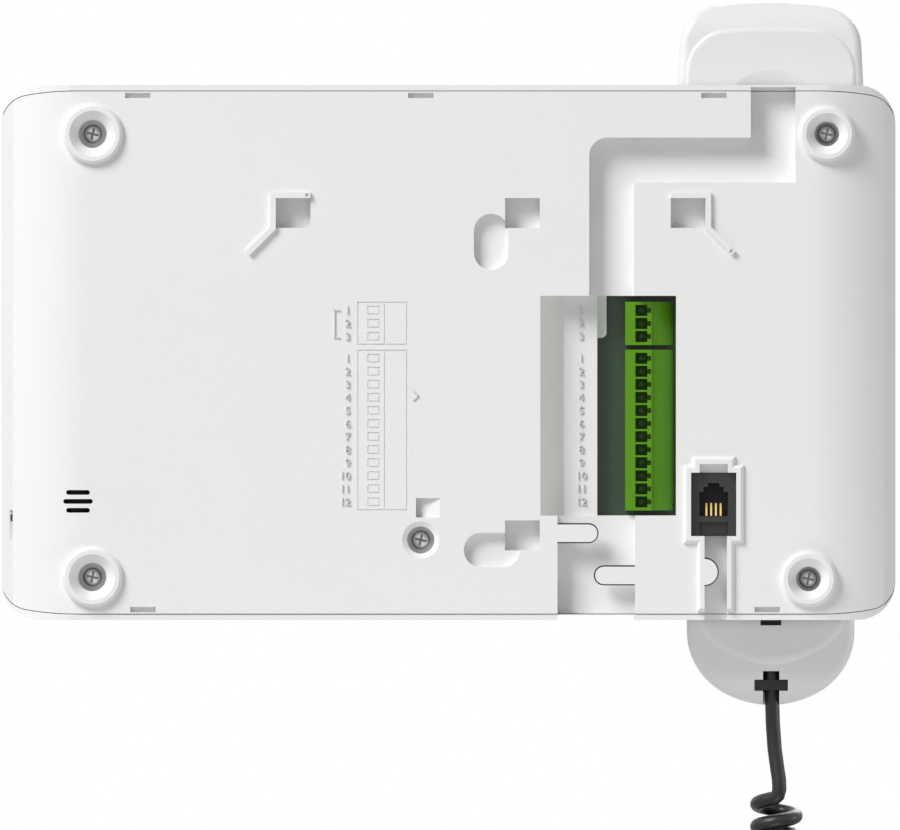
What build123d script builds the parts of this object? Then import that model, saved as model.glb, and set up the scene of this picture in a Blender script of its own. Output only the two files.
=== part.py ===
from build123d import *
import math
import os

# Indoor wall station seen from its back: X to the viewer's left, Z up, the room in front at -Y.
# Depths count from the flat back towards the room, so a depth d lies at Y = -d.

os.makedirs("parts", exist_ok=True)

# Body
body_width = 240.0
body_height = 143.4
body_depth = 29.0
body_corner = 10.5
cover_height = 140.0
cover_depth = 15.0
wall = 2.2
floor_wall = 1.6
fit_gap = 0.3
slide_gap = 0.15
cut_over = 1.0
half_width = body_width / 2
half_height = body_height / 2
cover_half = cover_height / 2

# Boards and screws
board_depth = 12.0
board_thick = 1.6
board_front = board_depth + board_thick
screw_head_radius = 2.5
screw_head_height = 1.7
screw_shank = 1.3
screw_clearance = 0.35
pilot_gap = 0.05

# Handset place in front of the body
handset_x = -86.65
handset_top = 94.5
handset_bottom = -94.75
trough_floor = 22.0
trough_half = 26.3
seat_gap = 0.3
pad_thick = 1.0
head_face = trough_floor + pad_thick + seat_gap


def at_depth(depth):
    """Plane parallel to the back; its sketches read X and Z, and extrude towards the room."""
    return Plane.XZ.offset(depth)


def block(xs, zs, depths, mode=Mode.ADD):
    """Box between two X values, two Z values and two depths, added to or cut from the open part."""
    with BuildSketch(at_depth(depths[0])) as footprint:
        with Locations(((xs[0] + xs[1]) / 2, (zs[0] + zs[1]) / 2)):
            Rectangle(abs(xs[1] - xs[0]), abs(zs[1] - zs[0]))
    extrude(footprint.sketch, amount=depths[1] - depths[0], mode=mode)


def rod(x, z, radius, depths, mode=Mode.ADD):
    """Round column along the depth, added to or cut from the open part."""
    with BuildSketch(at_depth(depths[0])) as footprint:
        with Locations((x, z)):
            Circle(radius)
    extrude(footprint.sketch, amount=depths[1] - depths[0], mode=mode)


def turned(x, z, outline, mode=Mode.ADD):
    """Solid of revolution about the depth axis at x, z, from points of radius and depth."""
    with BuildSketch(Plane(origin=(x, 0, z), x_dir=(1, 0, 0), z_dir=(0, 0, 1))) as profile:
        with BuildLine():
            Polyline([(radius, -depth) for radius, depth in outline], close=True)
        make_face()
    revolve(profile.sketch, axis=Axis((x, 0, z), (0, 1, 0)), mode=mode)


def screw(x, z, head_depth, length, head_radius=screw_head_radius, turn=13.0):
    """Pan head screw with a cross recess, its head's underside at head_depth."""
    head_height = screw_head_height * head_radius / screw_head_radius
    shank = screw_shank * head_radius / screw_head_radius
    slot_share, slot_width_share, slot_depth_share = 1.25, 0.24, 0.6
    top = head_depth - head_height
    tip = head_depth + length
    with BuildSketch(Plane(origin=(x, 0, z), x_dir=(1, 0, 0), z_dir=(0, 0, 1))) as profile:
        with BuildLine():
            dome = TangentArc((0, -top), (head_radius, -top - head_height / 2), tangent=(1, 0))
            Polyline(
                dome @ 1,
                (head_radius, -head_depth),
                (shank, -head_depth),
                (shank, shank - tip),
                (0, -tip),
                (0, -top),
            )
        make_face()
    revolve(profile.sketch, axis=Axis((x, 0, z), (0, 1, 0)))
    with BuildSketch(at_depth(top)) as cross:
        with Locations(Location((x, z), turn)):
            Rectangle(head_radius * slot_share, head_radius * slot_width_share)
            Rectangle(head_radius * slot_width_share, head_radius * slot_share)
    extrude(cross.sketch, amount=head_height * slot_depth_share, mode=Mode.SUBTRACT)


# Back cover: flat in the middle, rolled off to a crease at each side, then a steep outer wall
roll_run = 23.0
side_run = 3.2
crease_depth = 6.5
corner_run = 20.0
corner_drop = 2.6
corner_radius = 8.0
flat_half = half_width - roll_run
crease_half = half_width - side_run


def cover_outline(height, grow):
    """Outline of the cover seen from behind, with corners that fall away gently, then turn tight."""
    with BuildSketch() as outline:
        with BuildLine():
            top = Line((0, height / 2), (half_width - corner_run, height / 2))
            fall = TangentArc(top @ 1, (half_width, height / 2 - corner_drop), tangent=(1, 0))
            Line(fall @ 1, (half_width, 0))
            mirror(about=Plane.XZ)
            mirror(about=Plane.YZ)
        make_face()
        fillet(outline.vertices().sort_by(lambda v: -abs(v.X) - abs(v.Y))[:4], corner_radius)
        if grow:
            offset(amount=grow)
    return outline.sketch


def back_profile(inset):
    """Profile across the body: flat back, roll, crease and steep side, drawn in by inset for its inside."""
    reach = cover_depth + 2 * inset
    side_slope = side_run / (cover_depth - crease_depth)
    with BuildSketch(Plane.XY.offset(-half_height)) as profile:
        with BuildLine():
            back = Line((0, 0), (flat_half, 0))
            roll = TangentArc(back @ 1, (crease_half, -crease_depth), tangent=(1, 0))
            foot = (half_width + side_slope * 2 * inset, -reach)
            side = Line(roll @ 1, foot)
            Line(side @ 1, (0, -reach))
            mirror(about=Plane.YZ)
        make_face()
        if inset:
            offset(amount=-inset)
    return profile.sketch


def cover_form(inset):
    """Outer form of the cover, or the hollow inside it when inset is the wall."""
    with BuildPart() as form:
        extrude(back_profile(inset), amount=body_height)
        outline = at_depth(0) * cover_outline(cover_height, -inset)
        extrude(outline, amount=cover_depth + 2 * inset, mode=Mode.INTERSECT)
    return form.part


# Corner bosses that the casing screws go through: X, Z, radius at the foot
boss_rise = 2.0
boss_bevel = 0.8
boss_rim = 1.1
boss_cone_depth = 3.0
boss_left_radius = 8.1
boss_right_radius = 7.5
head_bore_left = 3.8
head_bore_right = 3.3
screw_seat = 6.5
post_radius = 3.6
post_top = board_depth - fit_gap
boss_place_shares = [(0.795, 0.8173), (0.7958, -0.8396), (-0.845, 0.8173), (-0.8042, -0.8466)]
boss_sizes = [(boss_left_radius, head_bore_left)] * 2 + [(boss_right_radius, head_bore_right)] * 2
boss_places = [
    (share_x * half_width, share_z * half_height, *size)
    for (share_x, share_z), size in zip(boss_place_shares, boss_sizes)
]

# Centre screw in a shallow dish
centre_x = 7.45
centre_z = -50.25
dish_radius = 5.0
dish_depth = 1.0
centre_bore = 3.65

# Hook holes for the wall bracket
hook_width = 9.3
hook_height = 8.0
hook_depth = 5.2
hook_upper_z = 37.4
hook_lower_z = -49.0
hook_left_x = 41.65
hook_right_x = -64.2
hook_mid_x = -19.8
hook_places = [
    (hook_left_x, hook_upper_z),
    (hook_mid_x, hook_upper_z),
    (hook_right_x, hook_upper_z),
    (hook_mid_x, hook_lower_z),
]
rib_width = 1.5
rib_rise = 1.2
rib_leg = 6.8
rib_notch = 0.9
rib_notch_back = 0.6

# Finger recesses beside the two middle hook holes
dip_depth = 2.8
dip_width = 9.2
dip_length = 15.0
upper_dip_x = -11.4
upper_dip_z = 29.7
lower_dip_x = -11.6
lower_dip_z = -52.9

# Small pocket with a sloping floor
pocket_xs = (8.7, 2.4)
pocket_zs = (-44.2, -39.0)
pocket_depth = 3.0

# Terminal well, with a sloping wall and a ledge for the numbers
well_left = -24.6
ledge_left = -30.9
ledge_right = -39.9
well_right = -61.0
well_top = 15.2
well_bottom = -43.7
ledge_depth = 7.5
tab_right = -42.4
tab_bottom = 3.9
tab_corner = 1.5
tab_depth = 10.0
well_wall_end = board_depth - fit_gap

# Cable channel from the top edge to the well
channel_width = 12.0
channel_depth = 6.0
channel_entry_x = -87.0
channel_run_z = 51.6
channel_drop_x = -43.7
channel_outer_round = 4.8
channel_low_round = 7.0
channel_inner_round = 2.2

# Cable recess from the well to the bottom edge, with two holding fingers over it
recess_left = -29.2
recess_right = -50.0
finger_width = 4.7
finger_reach = 10.7
finger_thick = 1.5
finger_gap = 0.35
finger_upper_z = -48.45
finger_lower_z = -59.75

# Handset line jack, its raised surround and the cord channel below it
jack_x = -71.05
jack_width = 12.1
jack_top = -32.2
jack_bottom = -49.2
surround_wall = 2.0
surround_rise = 1.5
surround_bevel = 0.8
notch_width = 7.5
notch_height = 2.3
notch_depth = 1.0
cord_way_x = -71.6
cord_way_width = 6.0
cord_way_depth = 5.0
cord_way_wall = 1.95
cord_way_end = -69.4
thumb_z = -58.8
thumb_radius = 3.5

# Vent slots over the ringer
vent_x = 99.3
vent_z = -39.9
vent_pitch = 2.4
vent_height = 1.26
vent_lengths = (6.35, 7.9, 6.35)

# Snap notches in the long edges
snap_width = 6.8
snap_height = 1.4
snap_depth = 1.5
snap_inset = 0.4
top_snap_shares = (0.694, 0.062, -0.593)
bottom_snap_shares = (0.6825, -0.7117)

# Slot of the volume switch in the side wall
volume_z = -46.4
volume_slot_length = 8.2
volume_slot_depths = (6.8, 9.4)
knob_length = 2.0

# Terminal blocks and the legend engraved beside them
terminal_pitch = 3.5
terminal_margin = 1.1
mains_ways = 3
signal_ways = 12
mains_z = 7.8
signal_z = -20.8
groove_width = 0.35
groove_depth = 0.25
legend_x = 17.7
legend_width = 13.4
legend_divider_x = 17.1
legend_mark_x = 20.05
legend_mark_width = 3.3
legend_mark_height = 2.4


def block_height(ways):
    return ways * terminal_pitch + terminal_margin


def way_places(ways, middle):
    first = middle + (ways - 1) * terminal_pitch / 2
    return [first - way * terminal_pitch for way in range(ways)]


def channel_sketch(grow):
    """Bent cable channel, grown by its wall where it is cut into the cover's inside."""
    entry_outer = channel_entry_x - channel_width / 2
    entry_inner = channel_entry_x + channel_width / 2
    run_top = channel_run_z + channel_width / 2
    run_low = channel_run_z - channel_width / 2
    drop_left = channel_drop_x + channel_width / 2
    drop_right = channel_drop_x - channel_width / 2
    with BuildSketch() as channel:
        with BuildLine():
            Polyline(
                (entry_inner, half_height),
                (entry_inner, run_top),
                (drop_left, run_top),
                (drop_left, well_top),
                (drop_right, well_top),
                (drop_right, run_low),
                (entry_outer, run_low),
                (entry_outer, half_height),
                close=True,
            )
        make_face()
        corners = channel.vertices()
        fillet(corners.sort_by_distance((drop_left, run_top))[0], channel_outer_round)
        fillet(corners.sort_by_distance((entry_outer, run_low))[0], channel_low_round)
        fillet(corners.sort_by_distance((entry_inner, run_top))[0], channel_inner_round)
        fillet(corners.sort_by_distance((drop_right, run_low))[0], channel_inner_round)
        if grow:
            offset(amount=grow, kind=Kind.INTERSECTION)
    return channel.sketch


def finger_sketch(root_x, z, side, grow):
    """Cable finger from the wall at root_x, with a round end; side is +1 towards +X."""
    with BuildSketch() as finger:
        tip_x = root_x + side * (finger_reach - finger_width / 2)
        with Locations(((root_x + tip_x) / 2, z)):
            Rectangle(abs(tip_x - root_x), finger_width + 2 * grow)
        with Locations((tip_x, z)):
            Circle(finger_width / 2 + grow)
    return finger.sketch


def thumb_sketch(grow):
    """Half disc that holds the handset cord in its channel."""
    root_x = cord_way_x + cord_way_width / 2
    with BuildSketch() as thumb:
        with Locations((root_x, thumb_z)):
            Circle(thumb_radius + grow)
        with Locations((root_x + thumb_radius, thumb_z)):
            Rectangle(2 * thumb_radius, 3 * thumb_radius, mode=Mode.SUBTRACT)
    return thumb.sketch


def surround_sketch():
    """Raised frame round the line jack, with its notch on top and the cord channel's walls below."""
    with BuildSketch() as frame:
        with Locations((jack_x, (jack_top + jack_bottom) / 2)):
            Rectangle(jack_width + 2 * surround_wall, jack_top - jack_bottom + 2 * surround_wall)
        with Locations((jack_x, jack_top + surround_wall)):
            Rectangle(notch_width + 2 * surround_wall, 2 * notch_height)
        with Locations((cord_way_x, (jack_bottom + cord_way_end) / 2)):
            Rectangle(cord_way_width + 2 * cord_way_wall, jack_bottom - cord_way_end)
    return frame.sketch


with BuildPart() as back_cover:
    add(cover_form(0))
    add(cover_form(wall), mode=Mode.SUBTRACT)
    # Material behind everything that is sunk into the back
    for x, z in hook_places:
        block(
            (x - hook_width / 2 - floor_wall, x + hook_width / 2 + floor_wall),
            (z - hook_height / 2 - floor_wall, z + hook_height / 2 + floor_wall),
            (wall / 2, hook_depth + floor_wall),
        )
    for x, z, across in ((upper_dip_x, upper_dip_z, False), (lower_dip_x, lower_dip_z, True)):
        with BuildSketch(at_depth(wall / 2)):
            with Locations(Location((x, z), 0 if across else 90)):
                SlotOverall(dip_length + 2 * floor_wall, dip_width + 2 * floor_wall)
        extrude(amount=dip_depth + floor_wall - wall / 2)
    block(
        (pocket_xs[0] + floor_wall, pocket_xs[1] - floor_wall),
        (pocket_zs[0] - floor_wall, pocket_zs[1] + floor_wall),
        (wall / 2, pocket_depth + floor_wall),
    )
    with BuildSketch(at_depth(wall / 2)):
        add(channel_sketch(floor_wall))
        with Locations((channel_entry_x, half_height)):
            end_band = 2 * (half_height - cover_half + wall / 2)
            Rectangle(channel_width + 4 * floor_wall, end_band, mode=Mode.SUBTRACT)
    extrude(amount=channel_depth + floor_wall - wall / 2)
    block(
        (well_left + floor_wall, well_right - floor_wall),
        (well_bottom - floor_wall, well_top + floor_wall),
        (wall / 2, well_wall_end),
    )
    block(
        (recess_left + floor_wall, recess_right - floor_wall),
        (-cover_half + wall / 2, well_bottom),
        (wall / 2, channel_depth + floor_wall),
    )
    block(
        (jack_x + jack_width / 2 + floor_wall, jack_x - jack_width / 2 - floor_wall),
        (jack_bottom - floor_wall, jack_top + surround_wall + floor_wall),
        (wall / 2, cord_way_depth + floor_wall),
    )
    block(
        (cord_way_x + cord_way_width / 2 + floor_wall, cord_way_x - cord_way_width / 2 - floor_wall),
        (-cover_half + wall / 2, jack_bottom),
        (wall / 2, cord_way_depth + floor_wall),
    )
    # Bosses, ribs and the jack's surround stand on the back
    for x, z, radius, bore in boss_places:
        turned(
            x,
            z,
            [
                (0, -boss_rise),
                (radius - boss_bevel, -boss_rise),
                (radius, -boss_rise + boss_bevel),
                (radius, boss_cone_depth),
                (bore + floor_wall, boss_cone_depth + wall),
                (bore + floor_wall, post_top - fit_gap),
                (0, post_top - fit_gap),
            ],
        )
    rod(centre_x, centre_z, dish_radius + floor_wall, (wall / 2, screw_seat))
    rod(centre_x, centre_z, centre_bore + floor_wall, (wall / 2, board_depth - fit_gap))
    for x, side in ((hook_left_x, 1), (hook_right_x, -1)):
        corner_x = x + side * (hook_width / 2 + rib_width / 2)
        ridge_z = hook_upper_z + hook_height / 2 + rib_width / 2
        foot_z = hook_upper_z - hook_height / 2
        with BuildSketch(at_depth(-rib_rise)):
            with BuildLine():
                Polyline(
                    (x - side * hook_width / 2, ridge_z),
                    (corner_x, ridge_z),
                    (corner_x, foot_z),
                    (corner_x + side * rib_leg, foot_z - rib_leg),
                )
            trace(line_width=rib_width)
        extrude(amount=rib_rise + wall / 2)
    for x, z in (
        (hook_left_x - hook_width / 2 + rib_notch, hook_upper_z + (hook_height + rib_width) / 2),
        (
            hook_right_x - (hook_width + rib_width) / 2 - rib_leg + rib_notch_back,
            hook_upper_z - hook_height / 2 - rib_leg + rib_notch_back,
        ),
    ):
        block(
            (x - rib_notch / 2, x + rib_notch / 2),
            (z - rib_notch / 2, z + rib_notch / 2),
            (-rib_rise, -rib_rise / 2),
            Mode.SUBTRACT,
        )
    extrude(at_depth(-surround_rise) * surround_sketch(), amount=surround_rise + wall / 2)
    flat_faces = back_cover.faces().filter_by(Plane.XZ)
    surround_face = flat_faces.sort_by_distance((jack_x, surround_rise, jack_top))[0]
    chamfer(surround_face.outer_wire().edges(), surround_bevel)
    # Everything that is sunk into the back
    for x, z in hook_places:
        block(
            (x - hook_width / 2, x + hook_width / 2),
            (z - hook_height / 2, z + hook_height / 2),
            (-boss_rise, hook_depth),
            Mode.SUBTRACT,
        )
    for x, z, across in ((upper_dip_x, upper_dip_z, False), (lower_dip_x, lower_dip_z, True)):
        with BuildSketch(at_depth(-cut_over)):
            with Locations(Location((x, z), 0 if across else 90)):
                SlotOverall(dip_length, dip_width)
        extrude(amount=cut_over + dip_depth, mode=Mode.SUBTRACT)
    with BuildSketch(Plane.XY.offset(pocket_zs[0])):
        with BuildLine():
            Polyline(
                (pocket_xs[0], cut_over),
                (pocket_xs[0], -pocket_depth),
                (pocket_xs[1], -groove_depth),
                (pocket_xs[1], cut_over),
                close=True,
            )
        make_face()
    extrude(amount=pocket_zs[1] - pocket_zs[0], mode=Mode.SUBTRACT)
    with BuildSketch(Plane.XY.offset(well_bottom)):
        with BuildLine():
            Polyline(
                (well_left, cut_over),
                (well_left, 0),
                (ledge_left, -ledge_depth),
                (ledge_right, -ledge_depth),
                (ledge_right, -well_wall_end - cut_over),
                (well_right, -well_wall_end - cut_over),
                (well_right, cut_over),
                close=True,
            )
        make_face()
    extrude(amount=well_top - well_bottom, mode=Mode.SUBTRACT)
    with BuildSketch(at_depth(tab_depth)) as tab:
        with Locations(((ledge_right + tab_right) / 2, (well_top + tab_bottom) / 2)):
            Rectangle(ledge_right - tab_right, well_top - tab_bottom)
        fillet(tab.vertices().sort_by_distance((tab_right, tab_bottom))[0], tab_corner)
    extrude(amount=floor_wall)
    extrude(at_depth(-cut_over) * channel_sketch(0), amount=cut_over + channel_depth, mode=Mode.SUBTRACT)
    block(
        (recess_left, recess_right),
        (-half_height, well_bottom + cut_over),
        (-cut_over, channel_depth),
        Mode.SUBTRACT,
    )
    for root_x, z, side in ((recess_left, finger_upper_z, -1), (recess_right, finger_lower_z, 1)):
        gap = at_depth(channel_depth - cut_over) * finger_sketch(root_x, z, side, finger_gap)
        extrude(gap, amount=floor_wall + 2 * cut_over, mode=Mode.SUBTRACT)
        extrude(at_depth(0) * finger_sketch(root_x, z, side, 0), amount=finger_thick)
    block(
        (jack_x - jack_width / 2, jack_x + jack_width / 2),
        (jack_bottom, jack_top),
        (-surround_rise - cut_over, board_depth),
        Mode.SUBTRACT,
    )
    block(
        (jack_x - notch_width / 2, jack_x + notch_width / 2),
        (jack_top - cut_over, jack_top + notch_height),
        (-surround_rise - cut_over, notch_depth),
        Mode.SUBTRACT,
    )
    block(
        (cord_way_x - cord_way_width / 2, cord_way_x + cord_way_width / 2),
        (-half_height, jack_bottom + cut_over),
        (-surround_rise - cut_over, cord_way_depth),
        Mode.SUBTRACT,
    )
    thumb_gap = at_depth(cord_way_depth - cut_over) * thumb_sketch(finger_gap)
    extrude(thumb_gap, amount=floor_wall + 2 * cut_over, mode=Mode.SUBTRACT)
    extrude(at_depth(-surround_rise) * thumb_sketch(0), amount=finger_thick)
    for x, z, radius, bore in boss_places:
        rim = radius - boss_bevel - boss_rim
        turned(
            x,
            z,
            [
                (0, -boss_rise - cut_over),
                (rim, -boss_rise - cut_over),
                (rim, -boss_rise),
                (bore, boss_cone_depth - boss_rise),
                (bore, screw_seat),
                (screw_shank + screw_clearance, screw_seat),
                (screw_shank + screw_clearance, post_top),
                (0, post_top),
            ],
            Mode.SUBTRACT,
        )
    turned(
        centre_x,
        centre_z,
        [
            (0, -cut_over),
            (dish_radius, -cut_over),
            (dish_radius, 0),
            (centre_bore, dish_depth),
            (centre_bore, screw_seat),
            (screw_shank + screw_clearance, screw_seat),
            (screw_shank + screw_clearance, board_depth),
            (0, board_depth),
        ],
        Mode.SUBTRACT,
    )
    with BuildSketch(at_depth(-cut_over)):
        for row, length in enumerate(vent_lengths):
            with Locations((vent_x, vent_z + (1 - row) * vent_pitch)):
                SlotOverall(length, vent_height)
    extrude(amount=cover_depth / 2, mode=Mode.SUBTRACT)
    for edge_z, shares in ((cover_half, top_snap_shares), (-cover_half, bottom_snap_shares)):
        for share in shares:
            x = share * half_width
            inner_z = edge_z - math.copysign(snap_height + snap_inset, edge_z)
            outer_z = edge_z - math.copysign(snap_inset, edge_z)
            block(
                (x - snap_width / 2, x + snap_width / 2),
                (min(inner_z, outer_z), max(inner_z, outer_z)),
                (-cut_over, snap_depth),
                Mode.SUBTRACT,
            )
    block(
        (crease_half - 2 * wall, half_width + cut_over),
        (volume_z - volume_slot_length / 2, volume_z + volume_slot_length / 2),
        volume_slot_depths,
        Mode.SUBTRACT,
    )
    # Legend engraved on the back: two frames, their divider and one mark for each wire
    with BuildSketch(at_depth(-cut_over)):
        for ways, middle in ((mains_ways, mains_z), (signal_ways, signal_z)):
            with Locations((legend_x, middle)):
                Rectangle(legend_width, block_height(ways))
                Rectangle(
                    legend_width - 2 * groove_width,
                    block_height(ways) - 2 * groove_width,
                    mode=Mode.SUBTRACT,
                )
            with Locations((legend_divider_x, middle)):
                Rectangle(groove_width, block_height(ways))
            for z in way_places(ways, middle):
                with Locations((legend_mark_x, z)):
                    Rectangle(legend_mark_width, legend_mark_height)
                    Rectangle(
                        legend_mark_width - 2 * groove_width,
                        legend_mark_height - 2 * groove_width,
                        mode=Mode.SUBTRACT,
                    )
    extrude(amount=cut_over + groove_depth, mode=Mode.SUBTRACT)
back_cover.part.label = "back_cover"
export_step(back_cover.part, "parts/back_cover.step")

# Front frame: a tray with a flange and a lip that meet the cover
parting_gap = 0.2
flange_thick = 1.8
lip_height = 1.4
lip_thick = 1.2
lip_gap = 0.9
front_round = 3.0
trough_round = 2.5
corner_share = 0.45
rim_edge = 0.3
rim_web = 0.55
recess_notch = 1.3
frame_back = cover_depth + parting_gap
front_inner = body_depth - wall
trough_inner = trough_floor - wall
trough_left = handset_x - trough_half
trough_right = handset_x + trough_half
casing_screw_length = 12.0
centre_screw_length = 16.0
seat_clearance = 0.1

# Main board and its screws
board_half_width = 84.0
board_half_height = 62.0
board_lug_end = 114.0
board_lug_zs = (-53.0, -28.0)
board_screw_radius = 2.1
board_screw_length = 6.0
board_screw_shares = [(0.905, 0.87), (0.905, -0.87), (-0.952, 0.87), (-0.952, -0.92)]
board_screw_places = [
    (share_x * board_half_width, share_z * board_half_height) for share_x, share_z in board_screw_shares
]
board_hole_gap = 0.4

# Display in the front
display_x = 8.0
window_width = 112.0
window_height = 76.0
window_thick = 1.5
window_corner = 2.5
bezel = 4.5
panel_thick = 5.0
panel_margin = 2.0

# Buttons beside the display
button_x = 92.0
button_pitch = 24.0
button_names = ("call_button", "door_button", "monitor_button", "light_button")
button_width = 18.0
button_height = 11.0
button_proud = 1.0
button_travel = 0.8
button_flange = 1.2
button_flange_thick = 1.0
button_edge = 0.5
button_board_front = 21.6
button_board_margin = 2.5
tact_size = 6.0
tact_height = 2.6
tact_radius = 1.7

# Hook switch under the handset's ear end
plunger_x = -76.0
plunger_z = 42.0
plunger_radius = 2.5
plunger_travel = 2.5
plunger_flange_radius = 3.9
plunger_flange_thick = 0.8
plunger_ear = 9.0
plunger_tail = 1.6
plunger_tail_end = 14.3
spring_radius = 2.5
spring_wire = 0.5
spring_turns = 2

# Lug that the handset hangs on, and the pads that it rests on
lug_z = 44.0
lug_width = 12.0
lug_height = 4.0
lug_reach = 5.5


def button_places():
    first = (len(button_names) - 1) * button_pitch / 2
    return [first - button * button_pitch for button in range(len(button_names))]


def post_end(x):
    """Depth of the frame's inner face in front of x."""
    return trough_inner if trough_left - wall < x < trough_right + wall else front_inner


def rim_foot_sketch():
    """Outline of the rims where they stand on the frame."""
    with BuildSketch() as foot:
        RectangleRounded(body_width, body_height, body_corner)
        add(cover_outline(cover_height, parting_gap), mode=Mode.SUBTRACT)
        Rectangle(body_width + cut_over, body_height - 2 * body_corner, mode=Mode.SUBTRACT)
    return foot.sketch


def rim_form():
    """Thin walls of the frame that stand above and below the cover, flush with its back."""
    with BuildPart() as form:
        extrude(back_profile(0), amount=body_height)
        with BuildSketch(at_depth(rim_edge)):
            RectangleRounded(body_width, body_height, body_corner)
        extrude(amount=cover_depth - rim_edge, mode=Mode.INTERSECT)
        cover_way = at_depth(0) * cover_outline(cover_height, parting_gap)
        extrude(cover_way, amount=cover_depth, mode=Mode.SUBTRACT)
        with BuildSketch(at_depth(0)):
            Rectangle(body_width + cut_over, body_height - 2 * body_corner)
        extrude(amount=cover_depth, mode=Mode.SUBTRACT)
    return form.part


with BuildPart() as front_frame:
    add(rim_form())
    with BuildSketch(at_depth(frame_back)):
        RectangleRounded(body_width, body_height, body_corner)
    extrude(amount=body_depth - frame_back)
    fillet(front_frame.faces().sort_by(Axis.Y)[0].edges(), front_round)
    rim_feet = at_depth(cover_depth) * rim_foot_sketch()
    extrude(rim_feet, amount=parting_gap + flange_thick)
    with BuildSketch(at_depth(frame_back - cut_over)):
        RectangleRounded(body_width - 2 * wall, body_height - 2 * wall, body_corner - wall)
        with Locations((handset_x, 0)):
            Rectangle(2 * trough_half + 2 * wall, body_height, mode=Mode.SUBTRACT)
    extrude(amount=front_inner - frame_back + cut_over, mode=Mode.SUBTRACT)
    block(
        (trough_left - 2 * wall, trough_right + 2 * wall),
        (-half_height + wall, half_height - wall),
        (frame_back - cut_over, trough_inner),
        Mode.SUBTRACT,
    )
    with BuildSketch(Plane.XY.offset(-half_height - cut_over)):
        with Locations((handset_x, -body_depth - wall)):
            RectangleRounded(2 * trough_half, 2 * (body_depth + wall - trough_floor), trough_round)
    extrude(amount=body_height + 2 * cut_over, mode=Mode.SUBTRACT)
    lip_outer = -wall - lip_gap
    with BuildSketch(at_depth(frame_back)):
        RectangleRounded(body_width - wall, body_height - wall, body_corner - wall / 2)
        add(cover_outline(cover_height, lip_outer - lip_thick), mode=Mode.SUBTRACT)
    extrude(amount=flange_thick)
    with BuildSketch(at_depth(cover_depth - lip_height)):
        add(cover_outline(cover_height, lip_outer))
        add(cover_outline(cover_height, lip_outer - lip_thick), mode=Mode.SUBTRACT)
    extrude(amount=lip_height + parting_gap + flange_thick / 2)
    # Posts for the casing screws, the boards' screws and the centre screw
    for x, z, radius, bore in boss_places:
        rod(x, z, post_radius, (post_top, post_end(x) + wall / 2))
        pilot_end = screw_seat + casing_screw_length + seat_clearance
        rod(x, z, screw_shank + pilot_gap, (post_top, pilot_end), Mode.SUBTRACT)
    rod(centre_x, centre_z, post_radius, (board_front + seat_clearance, front_inner + wall / 2))
    rod(
        centre_x,
        centre_z,
        screw_shank + pilot_gap,
        (board_front, screw_seat + centre_screw_length + seat_clearance),
        Mode.SUBTRACT,
    )
    board_shank = screw_shank * board_screw_radius / screw_head_radius
    for x, z in board_screw_places:
        rod(x, z, post_radius, (board_front + seat_clearance, post_end(x) + wall / 2))
        pilot_end = board_depth + board_screw_length + seat_clearance
        rod(x, z, board_shank + pilot_gap, (board_front, pilot_end), Mode.SUBTRACT)
    for z in (button_pitch, -button_pitch):
        rod(button_x, z, post_radius, (button_board_front + seat_clearance, front_inner + wall / 2))
        rod(
            button_x,
            z,
            board_shank + pilot_gap,
            (button_board_front, front_inner - seat_clearance),
            Mode.SUBTRACT,
        )
    # The cable channel, the cord way and the recess run through the rims
    for xs, zs, depth in (
        (
            (channel_entry_x - channel_width / 2, channel_entry_x + channel_width / 2),
            (cover_half - cut_over, half_height - rim_web),
            channel_depth,
        ),
        (
            (cord_way_x - cord_way_width / 2, cord_way_x + cord_way_width / 2),
            (-half_height - cut_over, -cover_half + cut_over),
            cord_way_depth,
        ),
        (
            (recess_left, recess_right),
            (-half_height - cut_over, -half_height + recess_notch),
            body_depth + cut_over,
        ),
    ):
        block(xs, zs, (-cut_over, depth), Mode.SUBTRACT)
    # Window seat and opening, button openings, plunger hole, and the lug in the handset's place
    with BuildSketch(at_depth(body_depth - window_thick)):
        with Locations((display_x, 0)):
            RectangleRounded(window_width, window_height, window_corner)
    extrude(amount=window_thick + cut_over, mode=Mode.SUBTRACT)
    block(
        (display_x - window_width / 2 + bezel, display_x + window_width / 2 - bezel),
        (-window_height / 2 + bezel, window_height / 2 - bezel),
        (front_inner - cut_over, body_depth + cut_over),
        Mode.SUBTRACT,
    )
    with BuildSketch(at_depth(front_inner - cut_over)):
        for z in button_places():
            with Locations((button_x, z)):
                SlotOverall(button_width, button_height)
    extrude(amount=wall + 2 * cut_over, mode=Mode.SUBTRACT)
    rod(
        plunger_x,
        plunger_z,
        plunger_radius + slide_gap / 2,
        (trough_inner - cut_over, trough_floor + cut_over),
        Mode.SUBTRACT,
    )
    block(
        (handset_x - lug_width / 2, handset_x + lug_width / 2),
        (lug_z - lug_height / 2, lug_z + lug_height / 2),
        (trough_floor - wall / 2, trough_floor + lug_reach),
    )
front_frame.part.label = "front_frame"
export_step(front_frame.part, "parts/front_frame.step")

with BuildPart() as display_window:
    with BuildSketch(at_depth(body_depth - window_thick)):
        with Locations((display_x, 0)):
            RectangleRounded(
                window_width - 2 * slide_gap, window_height - 2 * slide_gap, window_corner - slide_gap
            )
    extrude(amount=window_thick)
display_window.part.label = "display_window"
export_step(display_window.part, "parts/display_window.step")

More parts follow.
